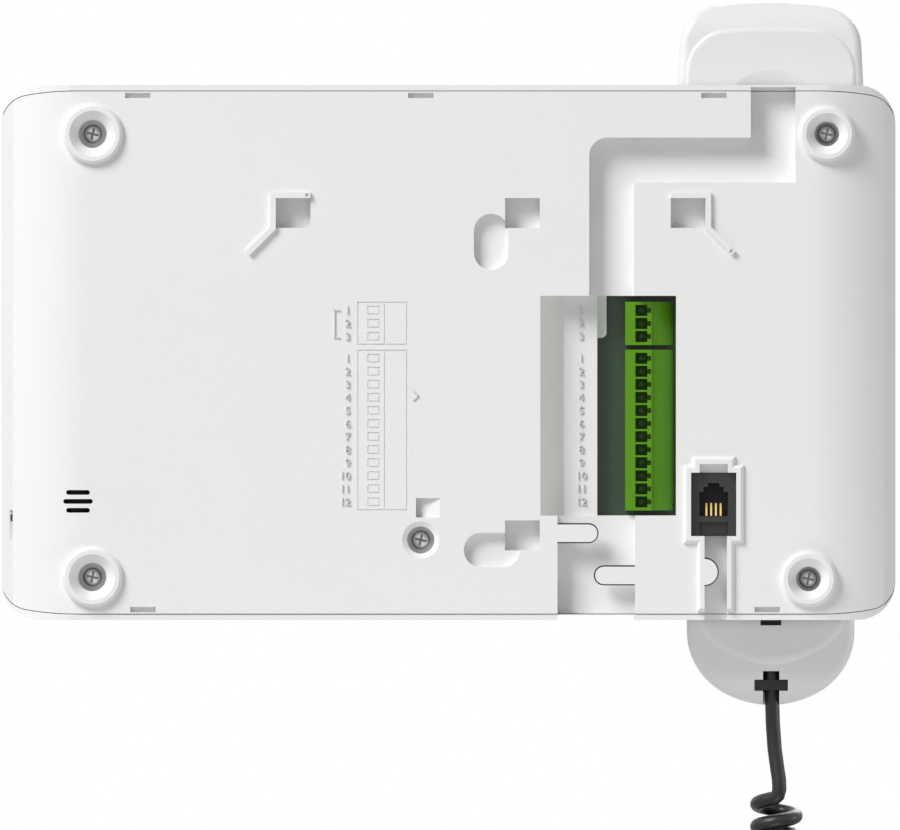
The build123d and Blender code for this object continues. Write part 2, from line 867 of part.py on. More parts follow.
with BuildPart() as display_panel:
    panel_half_width = window_width / 2 - bezel + panel_margin
    panel_half_height = window_height / 2 - bezel + panel_margin
    panel_frame = 1.5
    panel_recess = 0.4
    block(
        (display_x - panel_half_width, display_x + panel_half_width),
        (-panel_half_height, panel_half_height),
        (front_inner - fit_gap - panel_thick, front_inner - fit_gap),
    )
    block(
        (display_x - panel_half_width + panel_frame, display_x + panel_half_width - panel_frame),
        (-panel_half_height + panel_frame, panel_half_height - panel_frame),
        (front_inner - fit_gap - panel_recess, front_inner),
        Mode.SUBTRACT,
    )
display_panel.part.label = "display_panel"
export_step(display_panel.part, "parts/display_panel.step")

for name, z in zip(button_names, button_places()):
    with BuildPart() as button:
        with BuildSketch(at_depth(front_inner - seat_clearance - button_flange_thick)):
            with Locations((button_x, z)):
                SlotOverall(button_width + 2 * button_flange, button_height + 2 * button_flange)
        extrude(amount=button_flange_thick)
        with BuildSketch(at_depth(front_inner - seat_clearance - button_flange_thick)):
            with Locations((button_x, z)):
                SlotOverall(button_width - 2 * slide_gap, button_height - 2 * slide_gap)
        extrude(amount=wall + seat_clearance + button_flange_thick + button_proud)
        fillet(button.faces().sort_by(Axis.Y)[0].edges(), button_edge)
    button.part.label = name
    export_step(button.part, f"parts/{name}.step")

with BuildPart() as button_board:
    board_reach = button_places()[0] + button_height / 2 + button_board_margin
    block(
        (button_x - button_width / 2, button_x + button_width / 2),
        (-board_reach, board_reach),
        (button_board_front - board_thick, button_board_front),
    )
    for z in (button_pitch, -button_pitch):
        rod(
            button_x,
            z,
            board_shank + board_hole_gap,
            (button_board_front - board_thick - cut_over, button_board_front + cut_over),
            Mode.SUBTRACT,
        )
button_board.part.label = "button_board"
export_step(button_board.part, "parts/button_board.step")

with BuildPart() as tact_switches:
    for z in button_places():
        block(
            (button_x - tact_size / 2, button_x + tact_size / 2),
            (z - tact_size / 2, z + tact_size / 2),
            (button_board_front, button_board_front + tact_height),
        )
        tact_end = front_inner - 2 * seat_clearance - button_flange_thick - button_travel
        rod(button_x, z, tact_radius, (button_board_front, tact_end))
tact_switches.part.label = "tact_switches"
export_step(tact_switches.part, "parts/tact_switches.step")

with BuildPart() as main_board:
    block(
        (-board_half_width, board_half_width),
        (-board_half_height, board_half_height),
        (board_depth, board_front),
    )
    block((board_half_width - cut_over, board_lug_end), board_lug_zs, (board_depth, board_front))
    for x, z in board_screw_places:
        through = (board_depth - cut_over, board_front + cut_over)
        rod(x, z, board_shank + board_hole_gap, through, Mode.SUBTRACT)
    rod(
        centre_x,
        centre_z,
        screw_shank + board_hole_gap,
        (board_depth - cut_over, board_front + cut_over),
        Mode.SUBTRACT,
    )
main_board.part.label = "main_board"
export_step(main_board.part, "parts/main_board.step")

# Screws
with BuildPart() as casing_screws:
    for x, z, radius, bore in boss_places:
        screw(x, z, screw_seat, casing_screw_length)
casing_screws.part.label = "casing_screws"
export_step(casing_screws.part, "parts/casing_screws.step")

with BuildPart() as centre_screw:
    screw(centre_x, centre_z, screw_seat, centre_screw_length)
centre_screw.part.label = "centre_screw"
export_step(centre_screw.part, "parts/centre_screw.step")

with BuildPart() as board_screws:
    for x, z in board_screw_places:
        screw(x, z, board_depth, board_screw_length, board_screw_radius)
board_screws.part.label = "board_screws"
export_step(board_screws.part, "parts/board_screws.step")

with BuildPart() as button_board_screws:
    button_screw_length = front_inner - button_board_front + board_thick - 2 * seat_clearance
    for z in (button_pitch, -button_pitch):
        screw(button_x, z, button_board_front - board_thick, button_screw_length, board_screw_radius)
button_board_screws.part.label = "button_board_screws"
export_step(button_board_screws.part, "parts/button_board_screws.step")

# Terminal blocks: a flat face with the wire holes, a small step and a round fall to the board
block_left = -47.4
block_face_end = -54.5
block_right = -60.4
block_face = 4.0
block_step = 0.6
shoulder_slope = 26.0
block_shoulder = 11.2
hole_left = -50.1
hole_width = 3.2
hole_height = 2.95
hole_reach = 6.5
step_reach = 1.0
step_height = 1.3
clamp_thick = 1.2
clamp_gap = 0.15


def terminal_block(ways, middle):
    height = block_height(ways)
    with BuildSketch(Plane.XY.offset(middle - height / 2)) as section:
        with BuildLine():
            Line((block_left, -board_depth), (block_left, -block_face))
            Line((block_left, -block_face), (block_face_end, -block_face))
            Line((block_face_end, -block_face), (block_face_end, -block_face - block_step))
            slope = math.radians(shoulder_slope)
            TangentArc(
                (block_face_end, -block_face - block_step),
                (block_right, -block_shoulder),
                tangent=(-math.cos(slope), -math.sin(slope)),
            )
            Line((block_right, -block_shoulder), (block_right, -board_depth))
            Line((block_right, -board_depth), (block_left, -board_depth))
        make_face()
    extrude(section.sketch, amount=height)
    for z in way_places(ways, middle):
        block(
            (hole_left - hole_width, hole_left),
            (z - hole_height / 2, z + hole_height / 2),
            (block_face - cut_over, block_face + hole_reach),
            Mode.SUBTRACT,
        )
        block(
            (hole_left - hole_width - step_reach, hole_left),
            (z - step_height / 2, z + step_height / 2),
            (block_face - cut_over, block_face + hole_reach / 2),
            Mode.SUBTRACT,
        )


with BuildPart() as terminal_block_mains:
    terminal_block(mains_ways, mains_z)
terminal_block_mains.part.label = "terminal_block_mains"
export_step(terminal_block_mains.part, "parts/terminal_block_mains.step")

with BuildPart() as terminal_block_lines:
    terminal_block(signal_ways, signal_z)
terminal_block_lines.part.label = "terminal_block_lines"
export_step(terminal_block_lines.part, "parts/terminal_block_lines.step")

with BuildPart() as terminal_clamps:
    for z in way_places(mains_ways, mains_z) + way_places(signal_ways, signal_z):
        floor = block_face + hole_reach
        block(
            (hole_left - hole_width + clamp_gap, hole_left - clamp_gap),
            (z - hole_height / 2 + clamp_gap, z + hole_height / 2 - clamp_gap),
            (floor - clamp_thick, floor),
        )
        rod(hole_left - hole_width / 2, z, hole_height / 4, (floor - 2 * clamp_thick, floor - clamp_thick))
terminal_clamps.part.label = "terminal_clamps"
export_step(terminal_clamps.part, "parts/terminal_clamps.step")

# Line jack with four contacts, its mouth towards the wall
jack_face = 0.6
plug_width = 7.7
cavity_top = -37.4
cavity_bottom = -43.9
cavity_end = 11.0
latch_width_shares = (0.7, 0.4)
latch_rises = (1.4, 2.4)
sill_bottom = -48.9
sill_top = -45.5
sill_depth = 1.2
contact_pitch = 1.27
contact_count = 4
contact_width = 0.5
contact_thick = 0.35
contact_rise = 3.4
contact_depths = (2.7, 4.3)

with BuildPart() as line_jack:
    block(
        (jack_x - jack_width / 2 + slide_gap, jack_x + jack_width / 2 - slide_gap),
        (jack_bottom + slide_gap, jack_top - slide_gap),
        (jack_face, board_depth),
    )
    block(
        (jack_x - plug_width / 2, jack_x + plug_width / 2),
        (cavity_bottom, cavity_top),
        (jack_face - cut_over, cavity_end),
        Mode.SUBTRACT,
    )
    for width_share, step_rise in zip(latch_width_shares, latch_rises):
        step_width = plug_width * width_share
        block(
            (jack_x - step_width / 2, jack_x + step_width / 2),
            (cavity_top - cut_over, cavity_top + step_rise),
            (jack_face - cut_over, cavity_end),
            Mode.SUBTRACT,
        )
    block(
        (jack_x - plug_width / 2, jack_x + plug_width / 2),
        (sill_bottom, sill_top),
        (jack_face - cut_over, jack_face + sill_depth),
        Mode.SUBTRACT,
    )
line_jack.part.label = "line_jack"
export_step(line_jack.part, "parts/line_jack.step")

with BuildPart() as line_jack_contacts:
    for contact in range(contact_count):
        x = jack_x + (contact - (contact_count - 1) / 2) * contact_pitch
        low = cavity_bottom + clamp_gap
        with BuildSketch(Plane.YZ.offset(x - contact_width / 2)) as leaf:
            with BuildLine():
                Polyline(
                    (-contact_depths[0], low),
                    (-contact_depths[1], low + contact_rise),
                    (-contact_depths[1] - contact_thick, low + contact_rise),
                    (-contact_depths[0] - 2 * contact_thick, low),
                    close=True,
                )
            make_face()
        extrude(leaf.sketch, amount=contact_width)
line_jack_contacts.part.label = "line_jack_contacts"
export_step(line_jack_contacts.part, "parts/line_jack_contacts.step")

# Ringer behind the vent slots, on the main board
ringer_radius = 9.8
ringer_face = 6.8
ringer_rim = 1.2
ringer_dish = 1.6
ringer_cap_radius = 3.2
diaphragm_thick = 0.4

with BuildPart() as ringer:
    rod(vent_x, vent_z, ringer_radius, (ringer_face, board_depth))
    rod(
        vent_x,
        vent_z,
        ringer_radius - ringer_rim,
        (ringer_face - cut_over, ringer_face + ringer_dish),
        Mode.SUBTRACT,
    )
ringer.part.label = "ringer"
export_step(ringer.part, "parts/ringer.step")

with BuildPart() as ringer_diaphragm:
    cone_radius = ringer_radius - ringer_rim - slide_gap
    cone_top = ringer_face + ringer_dish - diaphragm_thick
    rod(vent_x, vent_z, cone_radius, (cone_top, ringer_face + ringer_dish))
    rod(vent_x, vent_z, ringer_cap_radius, (ringer_face + diaphragm_thick, cone_top))
ringer_diaphragm.part.label = "ringer_diaphragm"
export_step(ringer_diaphragm.part, "parts/ringer_diaphragm.step")

# Volume switch at the side, its knob in the slot
switch_xs = (109.7, 113.0)
switch_length = 9.6
switch_back = 7.3
knob_thick = 1.7
knob_proud = 0.7

with BuildPart() as volume_switch:
    block(
        switch_xs,
        (volume_z - switch_length / 2, volume_z + switch_length / 2),
        (switch_back, board_depth),
    )
volume_switch.part.label = "volume_switch"
export_step(volume_switch.part, "parts/volume_switch.step")

with BuildPart() as volume_knob:
    knob_top = volume_z + volume_slot_length / 2 - knob_length / 2
    slot_middle = (volume_slot_depths[0] + volume_slot_depths[1]) / 2
    block(
        (switch_xs[1] + seat_clearance, crease_half + knob_proud),
        (knob_top - knob_length, knob_top),
        (slot_middle - knob_thick / 2, slot_middle + knob_thick / 2),
    )
    fillet(volume_knob.faces().sort_by(Axis.X)[-1].edges(), knob_thick / 5)
volume_knob.part.label = "volume_knob"
export_step(volume_knob.part, "parts/volume_knob.step")

# Hook switch: the plunger is shown pressed in by the handset
with BuildPart() as hook_plunger:
    flange_front = trough_inner - seat_clearance - plunger_travel
    flange_back = flange_front - plunger_flange_thick
    rod(plunger_x, plunger_z, plunger_radius, (flange_back, trough_floor + pad_thick))
    fillet(hook_plunger.faces().sort_by(Axis.Y)[0].edges(), plunger_radius / 4)
    rod(plunger_x, plunger_z, plunger_flange_radius, (flange_back, flange_front))
    block(
        (plunger_x, plunger_x + plunger_ear),
        (plunger_z - plunger_radius / 2, plunger_z + plunger_radius / 2),
        (flange_back, flange_front),
    )
    rod(plunger_x, plunger_z, plunger_tail, (plunger_tail_end, flange_back))
hook_plunger.part.label = "hook_plunger"
export_step(hook_plunger.part, "parts/hook_plunger.step")

with BuildPart() as hook_switch:
    switch_x = plunger_x + plunger_ear - plunger_radius / 2
    switch_top = flange_back - plunger_flange_thick
    block(
        (switch_x - plunger_radius, switch_x + 2 * plunger_radius),
        (plunger_z - plunger_radius, plunger_z + plunger_radius),
        (board_front, switch_top),
    )
    rod(switch_x, plunger_z, plunger_radius / 4, (board_front, flange_back - seat_clearance))
hook_switch.part.label = "hook_switch"
export_step(hook_switch.part, "parts/hook_switch.step")


def biarc(start, start_tangent, end, end_tangent):
    """Two arcs that join start to end and keep both tangents."""
    chord = end - start
    tangents = start_tangent + end_tangent
    bend = 2 * (start_tangent.dot(end_tangent) - 1)
    slope = -2 * chord.dot(tangents)
    reach = (-slope - math.sqrt(slope * slope - 4 * bend * chord.dot(chord))) / (2 * bend)
    middle = (start + end + (start_tangent - end_tangent) * reach) / 2
    TangentArc(start, middle, tangent=start_tangent)
    TangentArc(middle, end, tangent=-end_tangent, tangent_from_first=False)


def spring_place(turn):
    """Point and direction of the hook spring's wire after a number of turns."""
    pitch = (flange_back - board_front - spring_wire - 2 * pilot_gap) / spring_turns
    angle = 2 * math.pi * turn
    depth = board_front + pilot_gap + spring_wire / 2 + pitch * turn
    x = plunger_x + spring_radius * math.cos(angle)
    z = plunger_z + spring_radius * math.sin(angle)
    place = Vector(x, -depth, z)
    around = 2 * math.pi * spring_radius
    direction = Vector(-around * math.sin(angle), -pitch, around * math.cos(angle)).normalized()
    return place, direction


with BuildPart() as hook_spring:
    with BuildLine() as spring_path:
        for half in range(2 * spring_turns):
            biarc(*spring_place(half / 2), *spring_place((half + 1) / 2))
    with BuildSketch(Plane(origin=spring_place(0)[0], z_dir=spring_place(0)[1])):
        Circle(spring_wire / 2)
    sweep(path=spring_path.line)
hook_spring.part.label = "hook_spring"
export_step(hook_spring.part, "parts/hook_spring.step")

# Pads that the handset rests on
ear_pad_z = 62.0
ear_pad_reach = 17.5
mouth_pad_z = -52.0
mouth_pad_reach = 14.0
mouth_pad_extra = 0.5
pad_width = 6.0
pad_height = 12.0

with BuildPart() as cradle_pads:
    for side in (-1, 1):
        for reach, z, thick in (
            (ear_pad_reach, ear_pad_z, pad_thick),
            (mouth_pad_reach, mouth_pad_z, pad_thick + mouth_pad_extra),
        ):
            x = handset_x + side * reach
            with BuildSketch(at_depth(trough_floor)):
                with Locations(Location((x, z), 90)):
                    SlotOverall(pad_height, pad_width)
            extrude(amount=thick)
cradle_pads.part.label = "cradle_pads"
export_step(cradle_pads.part, "parts/cradle_pads.step")

# Parts on the front of the main board
transformer_x = 48.0
transformer_z = 24.0
transformer_width = 19.0
transformer_core = 9.0
transformer_tall = 7.2
core_tall_share = 0.8
capacitor_x = 68.0
large_capacitor = (5.0, 10.0)
small_capacitor = (4.0, 8.0)
capacitor_zs = (32.0, 19.0)
capacitor_crown_share = 0.9
coil_x = 66.0
coil_zs = (4.0, -8.0)
coil_radius = 4.5
coil_tall = 4.0
chip_size = 14.0
chip_tall = 1.4
chip_z = 12.0
chip_xs = (2.0, -16.0)
codec_share = 0.65
codec_z = -14.0
chip_leg = 0.9
chip_rows = 5

with BuildPart() as power_components:
    block(
        (transformer_x - transformer_width / 2, transformer_x + transformer_width / 2),
        (transformer_z - transformer_core / 2, transformer_z + transformer_core / 2),
        (board_front, board_front + transformer_tall),
    )
    for side in (-1, 1):
        x = transformer_x + side * transformer_width / 4
        block(
            (x - transformer_core / 4, x + transformer_core / 4),
            (transformer_z - transformer_core, transformer_z + transformer_core),
            (board_front, board_front + transformer_tall * core_tall_share),
        )
    for z, (radius, tall) in zip(capacitor_zs, (large_capacitor, small_capacitor)):
        rod(capacitor_x, z, radius, (board_front, board_front + tall - radius / 4))
        rod(capacitor_x, z, radius * capacitor_crown_share, (board_front, board_front + tall))
    coil_top = board_front + coil_tall
    for z in coil_zs:
        rod(coil_x, z, coil_radius, (board_front, coil_top))
        rod(coil_x, z, coil_radius / 2, (coil_top - coil_tall / 2, coil_top), Mode.SUBTRACT)
power_components.part.label = "power_components"
export_step(power_components.part, "parts/power_components.step")

with BuildPart() as control_chips:
    for x, z, size in (
        (chip_xs[0], chip_z, chip_size),
        (chip_xs[1], chip_z, chip_size * codec_share),
        (chip_xs[0], codec_z, chip_size * codec_share),
    ):
        half = size / 2
        block((x - half, x + half), (z - half, z + half), (board_front, board_front + chip_tall))
        for row in range(chip_rows):
            leg_z = z + size * (row - (chip_rows - 1) / 2) / chip_rows
            block(
                (x - half - chip_leg, x + half + chip_leg),
                (leg_z - chip_leg / 2, leg_z + chip_leg / 2),
                (board_front, board_front + chip_tall / 4),
            )
control_chips.part.label = "control_chips"
export_step(control_chips.part, "parts/control_chips.step")

# Handset: an arched outer shell, an inner shell with the two heads, and what they hold
handset_parting = 34.0
handset_back = 30.0
arch_crown = 52.0
arch_end = 44.0
arch_reach = 100.0
handset_edge = 6.0
grip_edge = 2.2
top_half = 23.9
top_corner_z = 91.5
ear_half = 24.95
side_z = 71.7
mouth_half = 22.5
mouth_corner_z = -81.8
top_round = 11.0
side_round = 90.0
bottom_round = 19.0
plateau_step = 0.5
lip_slide = 0.15
handset_lip = 1.0

# Profile of the handset's back: both heads, the grip between them and the rounded ends
head_end_depth = 31.2
head_over = 1.0
ear_flat_end = 85.0
ear_foot = 37.0
ear_slope_foot = 27.0
mouth_flat_end = -80.0
mouth_foot = -36.0
mouth_slope_foot = -26.0
slope_round = 4.0

# Raised faces of the heads
ear_face_half = 22.2
ear_bevel = 0.6
ear_brow = 1.2
ear_face_end = 86.6
ear_face_sag = 1.2
ear_face_round = 10.7
mouth_face_half = 18.9
mouth_bevel = 1.1
mouth_brow = 4.0
mouth_face_end = -82.0
mouth_face_sag = 8.0
mouth_face_round = 9.0
ear_dish_z = 62.0
ear_dish_radius = 14.0
ear_dish_depth = 1.4
mouth_dish_z = -55.2
mouth_dish_radius = 26.5
mouth_dish_depth = 1.2
ear_hole_radius = 1.2
ear_hole_ring = 6.0
ear_hole_count = 8
mic_slot_z = -71.3
mic_slot_width = 5.6
mic_slot_height = 4.0
lug_clearance = 0.6
capsule_radius = 14.0
capsule_depths = (26.1, 32.1)
mic_radius = 4.8
mic_depths = (26.1, 30.3)
weight_zs = (-20.0, 14.0)
weight_half = 9.0
weight_depths = (36.0, 44.0)
weight_rib_zs = (-12.0, 6.0)
handset_screw_zs = (22.0, -28.0)
handset_screw_seat = 32.0
handset_screw_length = 9.0

# Strain relief in the handset's lower end
cord_radius = 1.95
cord_depth = 31.0
notch_offset = -0.1
notch_x = handset_x + notch_offset
notch_width_at_end = 4.4
notch_top = -85.6
arm_half = 4.5
arm_zs = (-90.9, -87.9)
relief_depths = (27.4, 33.8)
relief_neck = 3.1
relief_neck_top = -83.6

# Curly cord: straight out of the handset, a tight bend, then the curls
cord_x = -86.9
cord_top = -82.0
cord_route = [(cord_x, -cord_depth, cord_top), (cord_x, -cord_depth, -103.5)]
curl_x = -88.25
curl_y = -35.0
curl_radius = 5.25
curl_top = -120.3
curl_start = 60.0
curl_count = 29.5
curl_pitch = 4.6
first_pitch = 7.0
pitch_fade = 1.2
bend_run = 5.0
bend_radius = 4.2
tail_length = 14.0


def handset_outline(depth, grow=0.0):
    """Outline of the handset seen along the depth."""
    with BuildSketch() as outline:
        with BuildLine():
            ThreePointArc((-top_half, top_corner_z), (0, handset_top), (top_half, top_corner_z))
            Polyline(
                (top_half, top_corner_z),
                (ear_half, side_z),
                (mouth_half, -side_z),
                (mouth_half, mouth_corner_z),
            )
            ThreePointArc((mouth_half, mouth_corner_z), (0, handset_bottom), (-mouth_half, mouth_corner_z))
            Polyline(
                (-mouth_half, mouth_corner_z),
                (-mouth_half, -side_z),
                (-ear_half, side_z),
                (-top_half, top_corner_z),
            )
        make_face()
        fillet(outline.vertices().sort_by(Axis.Y)[:2], bottom_round)
        fillet(outline.vertices().sort_by(Axis.Y)[-2:], top_round)
        sides = outline.vertices().filter_by_position(Axis.Y, -side_z - cut_over, side_z + cut_over)
        fillet(sides, side_round)
        if grow:
            offset(amount=grow)
    return head_plane(depth) * outline.sketch


def head_plane(depth):
    """Plane along the depth with its middle on the handset's axis."""
    return Plane(origin=(handset_x, -depth, 0), x_dir=(1, 0, 0), z_dir=(0, -1, 0))


def head_outline(half, root, tip, sag, corner):
    """Outline of a head's raised face: straight sides and root, and an end with an arc."""
    side = math.copysign(sag, tip)
    with BuildSketch() as outline:
        with BuildLine():
            Polyline((-half, tip - side), (-half, root), (half, root), (half, tip - side))
            ThreePointArc((half, tip - side), (0, tip), (-half, tip - side))
        make_face()
        fillet(outline.vertices(), corner)
    return outline.sketch


def raised_face(half, root, tip, sag, corner, bevel, brow):
    """Flat face of a head with bevelled sides and a soft brow, sunk into the handset's back."""
    foot = 2 * plateau_step
    widen = bevel * foot / plateau_step
    top = head_outline(half, root, tip, sag, corner)
    bottom = head_outline(
        half + widen,
        root - math.copysign(widen, tip),
        tip + math.copysign(widen, tip),
        sag,
        corner + widen,
    )
    with BuildPart() as face:
        loft([head_plane(head_face) * top, head_plane(head_face + foot) * bottom], ruled=True)
        fillet(face.faces().sort_by(Axis.Y)[-1].edges(), brow)
    return face.part


def back_form(inset):
    """Outer form of the handset's back, or the hollow inside it when inset is the wall."""
    face = head_face + plateau_step
    low_end = handset_bottom - head_over
    high_end = handset_top + head_over
    inside = handset_parting + 2 * wall
    with BuildPart() as form:
        extrude(handset_outline(head_face, -inset), amount=handset_parting - head_face + wall)
        with BuildSketch(Plane.YZ.offset(handset_x - body_depth)) as profile:
            with BuildLine():
                high = TangentArc((-face, ear_flat_end), (-head_end_depth, high_end), tangent=(0, 1))
                low = TangentArc((-face, mouth_flat_end), (-head_end_depth, low_end), tangent=(0, -1))
                Polyline(high @ 1, (-inside, high_end), (-inside, low_end), low @ 1)
                Polyline(
                    low @ 0,
                    (-face, mouth_foot),
                    (-handset_back, mouth_slope_foot),
                    (-handset_back, ear_slope_foot),
                    (-face, ear_foot),
                    high @ 0,
                )
            make_face()
            feet = profile.vertices().filter_by_position(Axis.Y, mouth_foot - cut_over, ear_foot + cut_over)
            fillet(feet, slope_round)
            if inset:
                offset(amount=-inset)
        extrude(profile.sketch, amount=2 * body_depth, mode=Mode.INTERSECT)
        rims = form.edges().filter_by_position(Axis.Y, -handset_parting + head_over, 0)
        rims = rims - rims.filter_by(Axis.X) - rims.filter_by(Axis.Y)
        fillet(rims, grip_edge if not inset else grip_edge / 4)
    return form.part


def arch_form(inset):
    """Outer form of the handset's front, or the hollow inside it when inset is the wall."""
    with BuildPart() as form:
        extrude(handset_outline(handset_parting, -inset), amount=body_depth)
        with BuildSketch(Plane.YZ.offset(handset_x - body_depth)) as profile:
            with BuildLine():
                Polyline(
                    (-arch_end + inset, -arch_reach),
                    (-handset_back, -arch_reach),
                    (-handset_back, arch_reach),
                    (-arch_end + inset, arch_reach),
                )
                ThreePointArc(
                    (-arch_end + inset, arch_reach),
                    (-arch_crown + inset, 0),
                    (-arch_end + inset, -arch_reach),
                )
            make_face()
        extrude(profile.sketch, amount=2 * body_depth, mode=Mode.INTERSECT)
        fillet(form.faces().sort_by(Axis.Y)[0].edges(), handset_edge - inset)
    return form.part


def dish(z, radius, depth):
    """Shallow round hollow in the handset's back."""
    ball = (radius * radius + depth * depth) / (2 * depth)
    with Locations((handset_x, -head_face - depth + ball, z)):
        Sphere(ball, mode=Mode.SUBTRACT)


with BuildPart() as handset_outer_shell:
    add(arch_form(0))
    add(arch_form(wall), mode=Mode.SUBTRACT)
    for z in handset_screw_zs:
        rod(handset_x, z, post_radius, (handset_parting + seat_clearance, arch_crown - wall))
        rod(
            handset_x,
            z,
            board_shank + pilot_gap,
            (handset_parting, handset_screw_seat + handset_screw_length + seat_clearance),
            Mode.SUBTRACT,
        )
    for z in weight_rib_zs:
        rod(handset_x, z, post_radius, (weight_depths[1] + seat_clearance, arch_crown - wall))
handset_outer_shell.part.label = "handset_outer_shell"
export_step(handset_outer_shell.part, "parts/handset_outer_shell.step")

with BuildPart() as handset_inner_shell:
    shell_end = handset_parting - seat_clearance
    add(back_form(0))
    ear = (ear_face_half, ear_foot, ear_face_end, ear_face_sag, ear_face_round, ear_bevel, ear_brow)
    add(raised_face(*ear))
    mouth = (mouth_face_half, mouth_foot, mouth_face_end, mouth_face_sag, mouth_face_round)
    add(raised_face(*mouth, mouth_bevel, mouth_brow))
    add(back_form(wall), mode=Mode.SUBTRACT)
    dish(ear_dish_z, ear_dish_radius, ear_dish_depth)
    dish(mouth_dish_z, mouth_dish_radius, mouth_dish_depth)
    block(
        (handset_x - arch_reach, handset_x + arch_reach),
        (-arch_reach, arch_reach),
        (shell_end, handset_parting + arch_crown),
        Mode.SUBTRACT,
    )
    # Lip inside the outer shell, and the columns that the screws pass
    lip_grow = -wall - lip_slide
    lip_span = shell_end - handset_back - wall + lip_height
    extrude(handset_outline(handset_back + wall, lip_grow), amount=lip_span)
    lip_hollow = handset_outline(handset_back + wall, lip_grow - handset_lip)
    extrude(lip_hollow, amount=lip_span, mode=Mode.SUBTRACT)
    for z in handset_screw_zs:
        rod(handset_x, z, post_radius, (handset_back + wall / 2, shell_end))
        rod(
            handset_x,
            z,
            board_screw_radius + screw_clearance,
            (handset_back - cut_over, handset_screw_seat),
            Mode.SUBTRACT,
        )
        rod(handset_x, z, board_shank + screw_clearance, (handset_back, handset_parting), Mode.SUBTRACT)
    # Holes: for the receiver, the microphone, the lug and the cord
    rod(handset_x, ear_dish_z, ear_hole_radius, (head_face, capsule_depths[0]), Mode.SUBTRACT)
    for hole in range(ear_hole_count):
        angle = 2 * math.pi * hole / ear_hole_count
        rod(
            handset_x + ear_hole_ring * math.cos(angle),
            ear_dish_z + ear_hole_ring * math.sin(angle),
            ear_hole_radius,
            (head_face, capsule_depths[0]),
            Mode.SUBTRACT,
        )
    block(
        (handset_x - mic_slot_width / 2, handset_x + mic_slot_width / 2),
        (mic_slot_z - mic_slot_height / 2, mic_slot_z + mic_slot_height / 2),
        (head_face - cut_over, mic_depths[0]),
        Mode.SUBTRACT,
    )
    block(
        (handset_x - lug_width / 2 - lug_clearance, handset_x + lug_width / 2 + lug_clearance),
        (lug_z - lug_height / 2 - lug_clearance, lug_z + lug_height / 2 + lug_clearance),
        (head_face - cut_over, trough_floor + lug_reach + lug_clearance),
        Mode.SUBTRACT,
    )
    block(
        (notch_x - notch_width_at_end / 2, notch_x + notch_width_at_end / 2),
        (-arch_reach, notch_top),
        (head_face - cut_over, handset_parting),
        Mode.SUBTRACT,
    )
    block(
        (notch_x - arm_half, notch_x + arm_half),
        arm_zs,
        (head_face - cut_over, handset_parting),
        Mode.SUBTRACT,
    )
handset_inner_shell.part.label = "handset_inner_shell"
export_step(handset_inner_shell.part, "parts/handset_inner_shell.step")

with BuildPart() as receiver_capsule:
    rod(handset_x, ear_dish_z, capsule_radius, capsule_depths)
    rod(
        handset_x,
        ear_dish_z,
        capsule_radius / 2,
        (capsule_depths[1] - pad_thick, capsule_depths[1] + cut_over),
        Mode.SUBTRACT,
    )
receiver_capsule.part.label = "receiver_capsule"
export_step(receiver_capsule.part, "parts/receiver_capsule.step")

with BuildPart() as microphone_capsule:
    rod(handset_x, mic_slot_z, mic_radius, mic_depths)
    mic_port_depths = (mic_depths[0], mic_depths[0] + pad_thick / 2)
    rod(handset_x, mic_slot_z, mic_radius / 2, mic_port_depths, Mode.SUBTRACT)
microphone_capsule.part.label = "microphone_capsule"
export_step(microphone_capsule.part, "parts/microphone_capsule.step")

with BuildPart() as handset_weight:
    block((handset_x - weight_half, handset_x + weight_half), weight_zs, weight_depths)
    chamfer(handset_weight.edges().filter_by(Axis.Y), wall)
handset_weight.part.label = "handset_weight"
export_step(handset_weight.part, "parts/handset_weight.step")

with BuildPart() as handset_screws:
    for z in handset_screw_zs:
        screw(handset_x, z, handset_screw_seat, handset_screw_length, board_screw_radius)
handset_screws.part.label = "handset_screws"
export_step(handset_screws.part, "parts/handset_screws.step")

with BuildPart() as cord_strain_relief:
    block(
        (notch_x - arm_half + lip_slide, notch_x + arm_half - lip_slide),
        (arm_zs[0] + lip_slide, arm_zs[1] - lip_slide),
        relief_depths,
    )
    with BuildSketch(Plane(origin=(cord_x, -cord_depth, arm_zs[1] - lip_slide), z_dir=(0, 0, 1))) as collar:
        Circle(relief_neck)
    extrude(collar.sketch, amount=relief_neck_top - arm_zs[1] + lip_slide)
    with BuildSketch(Plane(origin=(cord_x, -cord_depth, handset_bottom), z_dir=(0, 0, 1))) as bore:
        Circle(cord_radius + pilot_gap)
    extrude(bore.sketch, amount=-handset_bottom, mode=Mode.SUBTRACT)
cord_strain_relief.part.label = "cord_strain_relief"
export_step(cord_strain_relief.part, "parts/cord_strain_relief.step")


def curl_place(turn):
    """Point and direction of the cord's centreline after a number of turns, going down."""
    angle = math.radians(curl_start) - 2 * math.pi * turn
    fade = math.exp(-turn / pitch_fade)
    fall = curl_pitch * turn + (first_pitch - curl_pitch) * pitch_fade * (1 - fade)
    pitch = curl_pitch + (first_pitch - curl_pitch) * fade
    place = Vector(
        curl_x + curl_radius * math.cos(angle), curl_y + curl_radius * math.sin(angle), curl_top - fall
    )
    around = 2 * math.pi * curl_radius
    direction = Vector(around * math.sin(angle), -around * math.cos(angle), -pitch).normalized()
    return place, direction


def fillet_radius(before, corner, after):
    """Widest arc that a corner takes when each run is shared with the next corner."""
    run_in = (Vector(corner) - Vector(before)).length
    run_out = (Vector(after) - Vector(corner)).length
    turn = math.radians((Vector(corner) - Vector(before)).get_angle(Vector(after) - Vector(corner)))
    return corner_share * min(run_in, run_out) / math.tan(turn / 2)


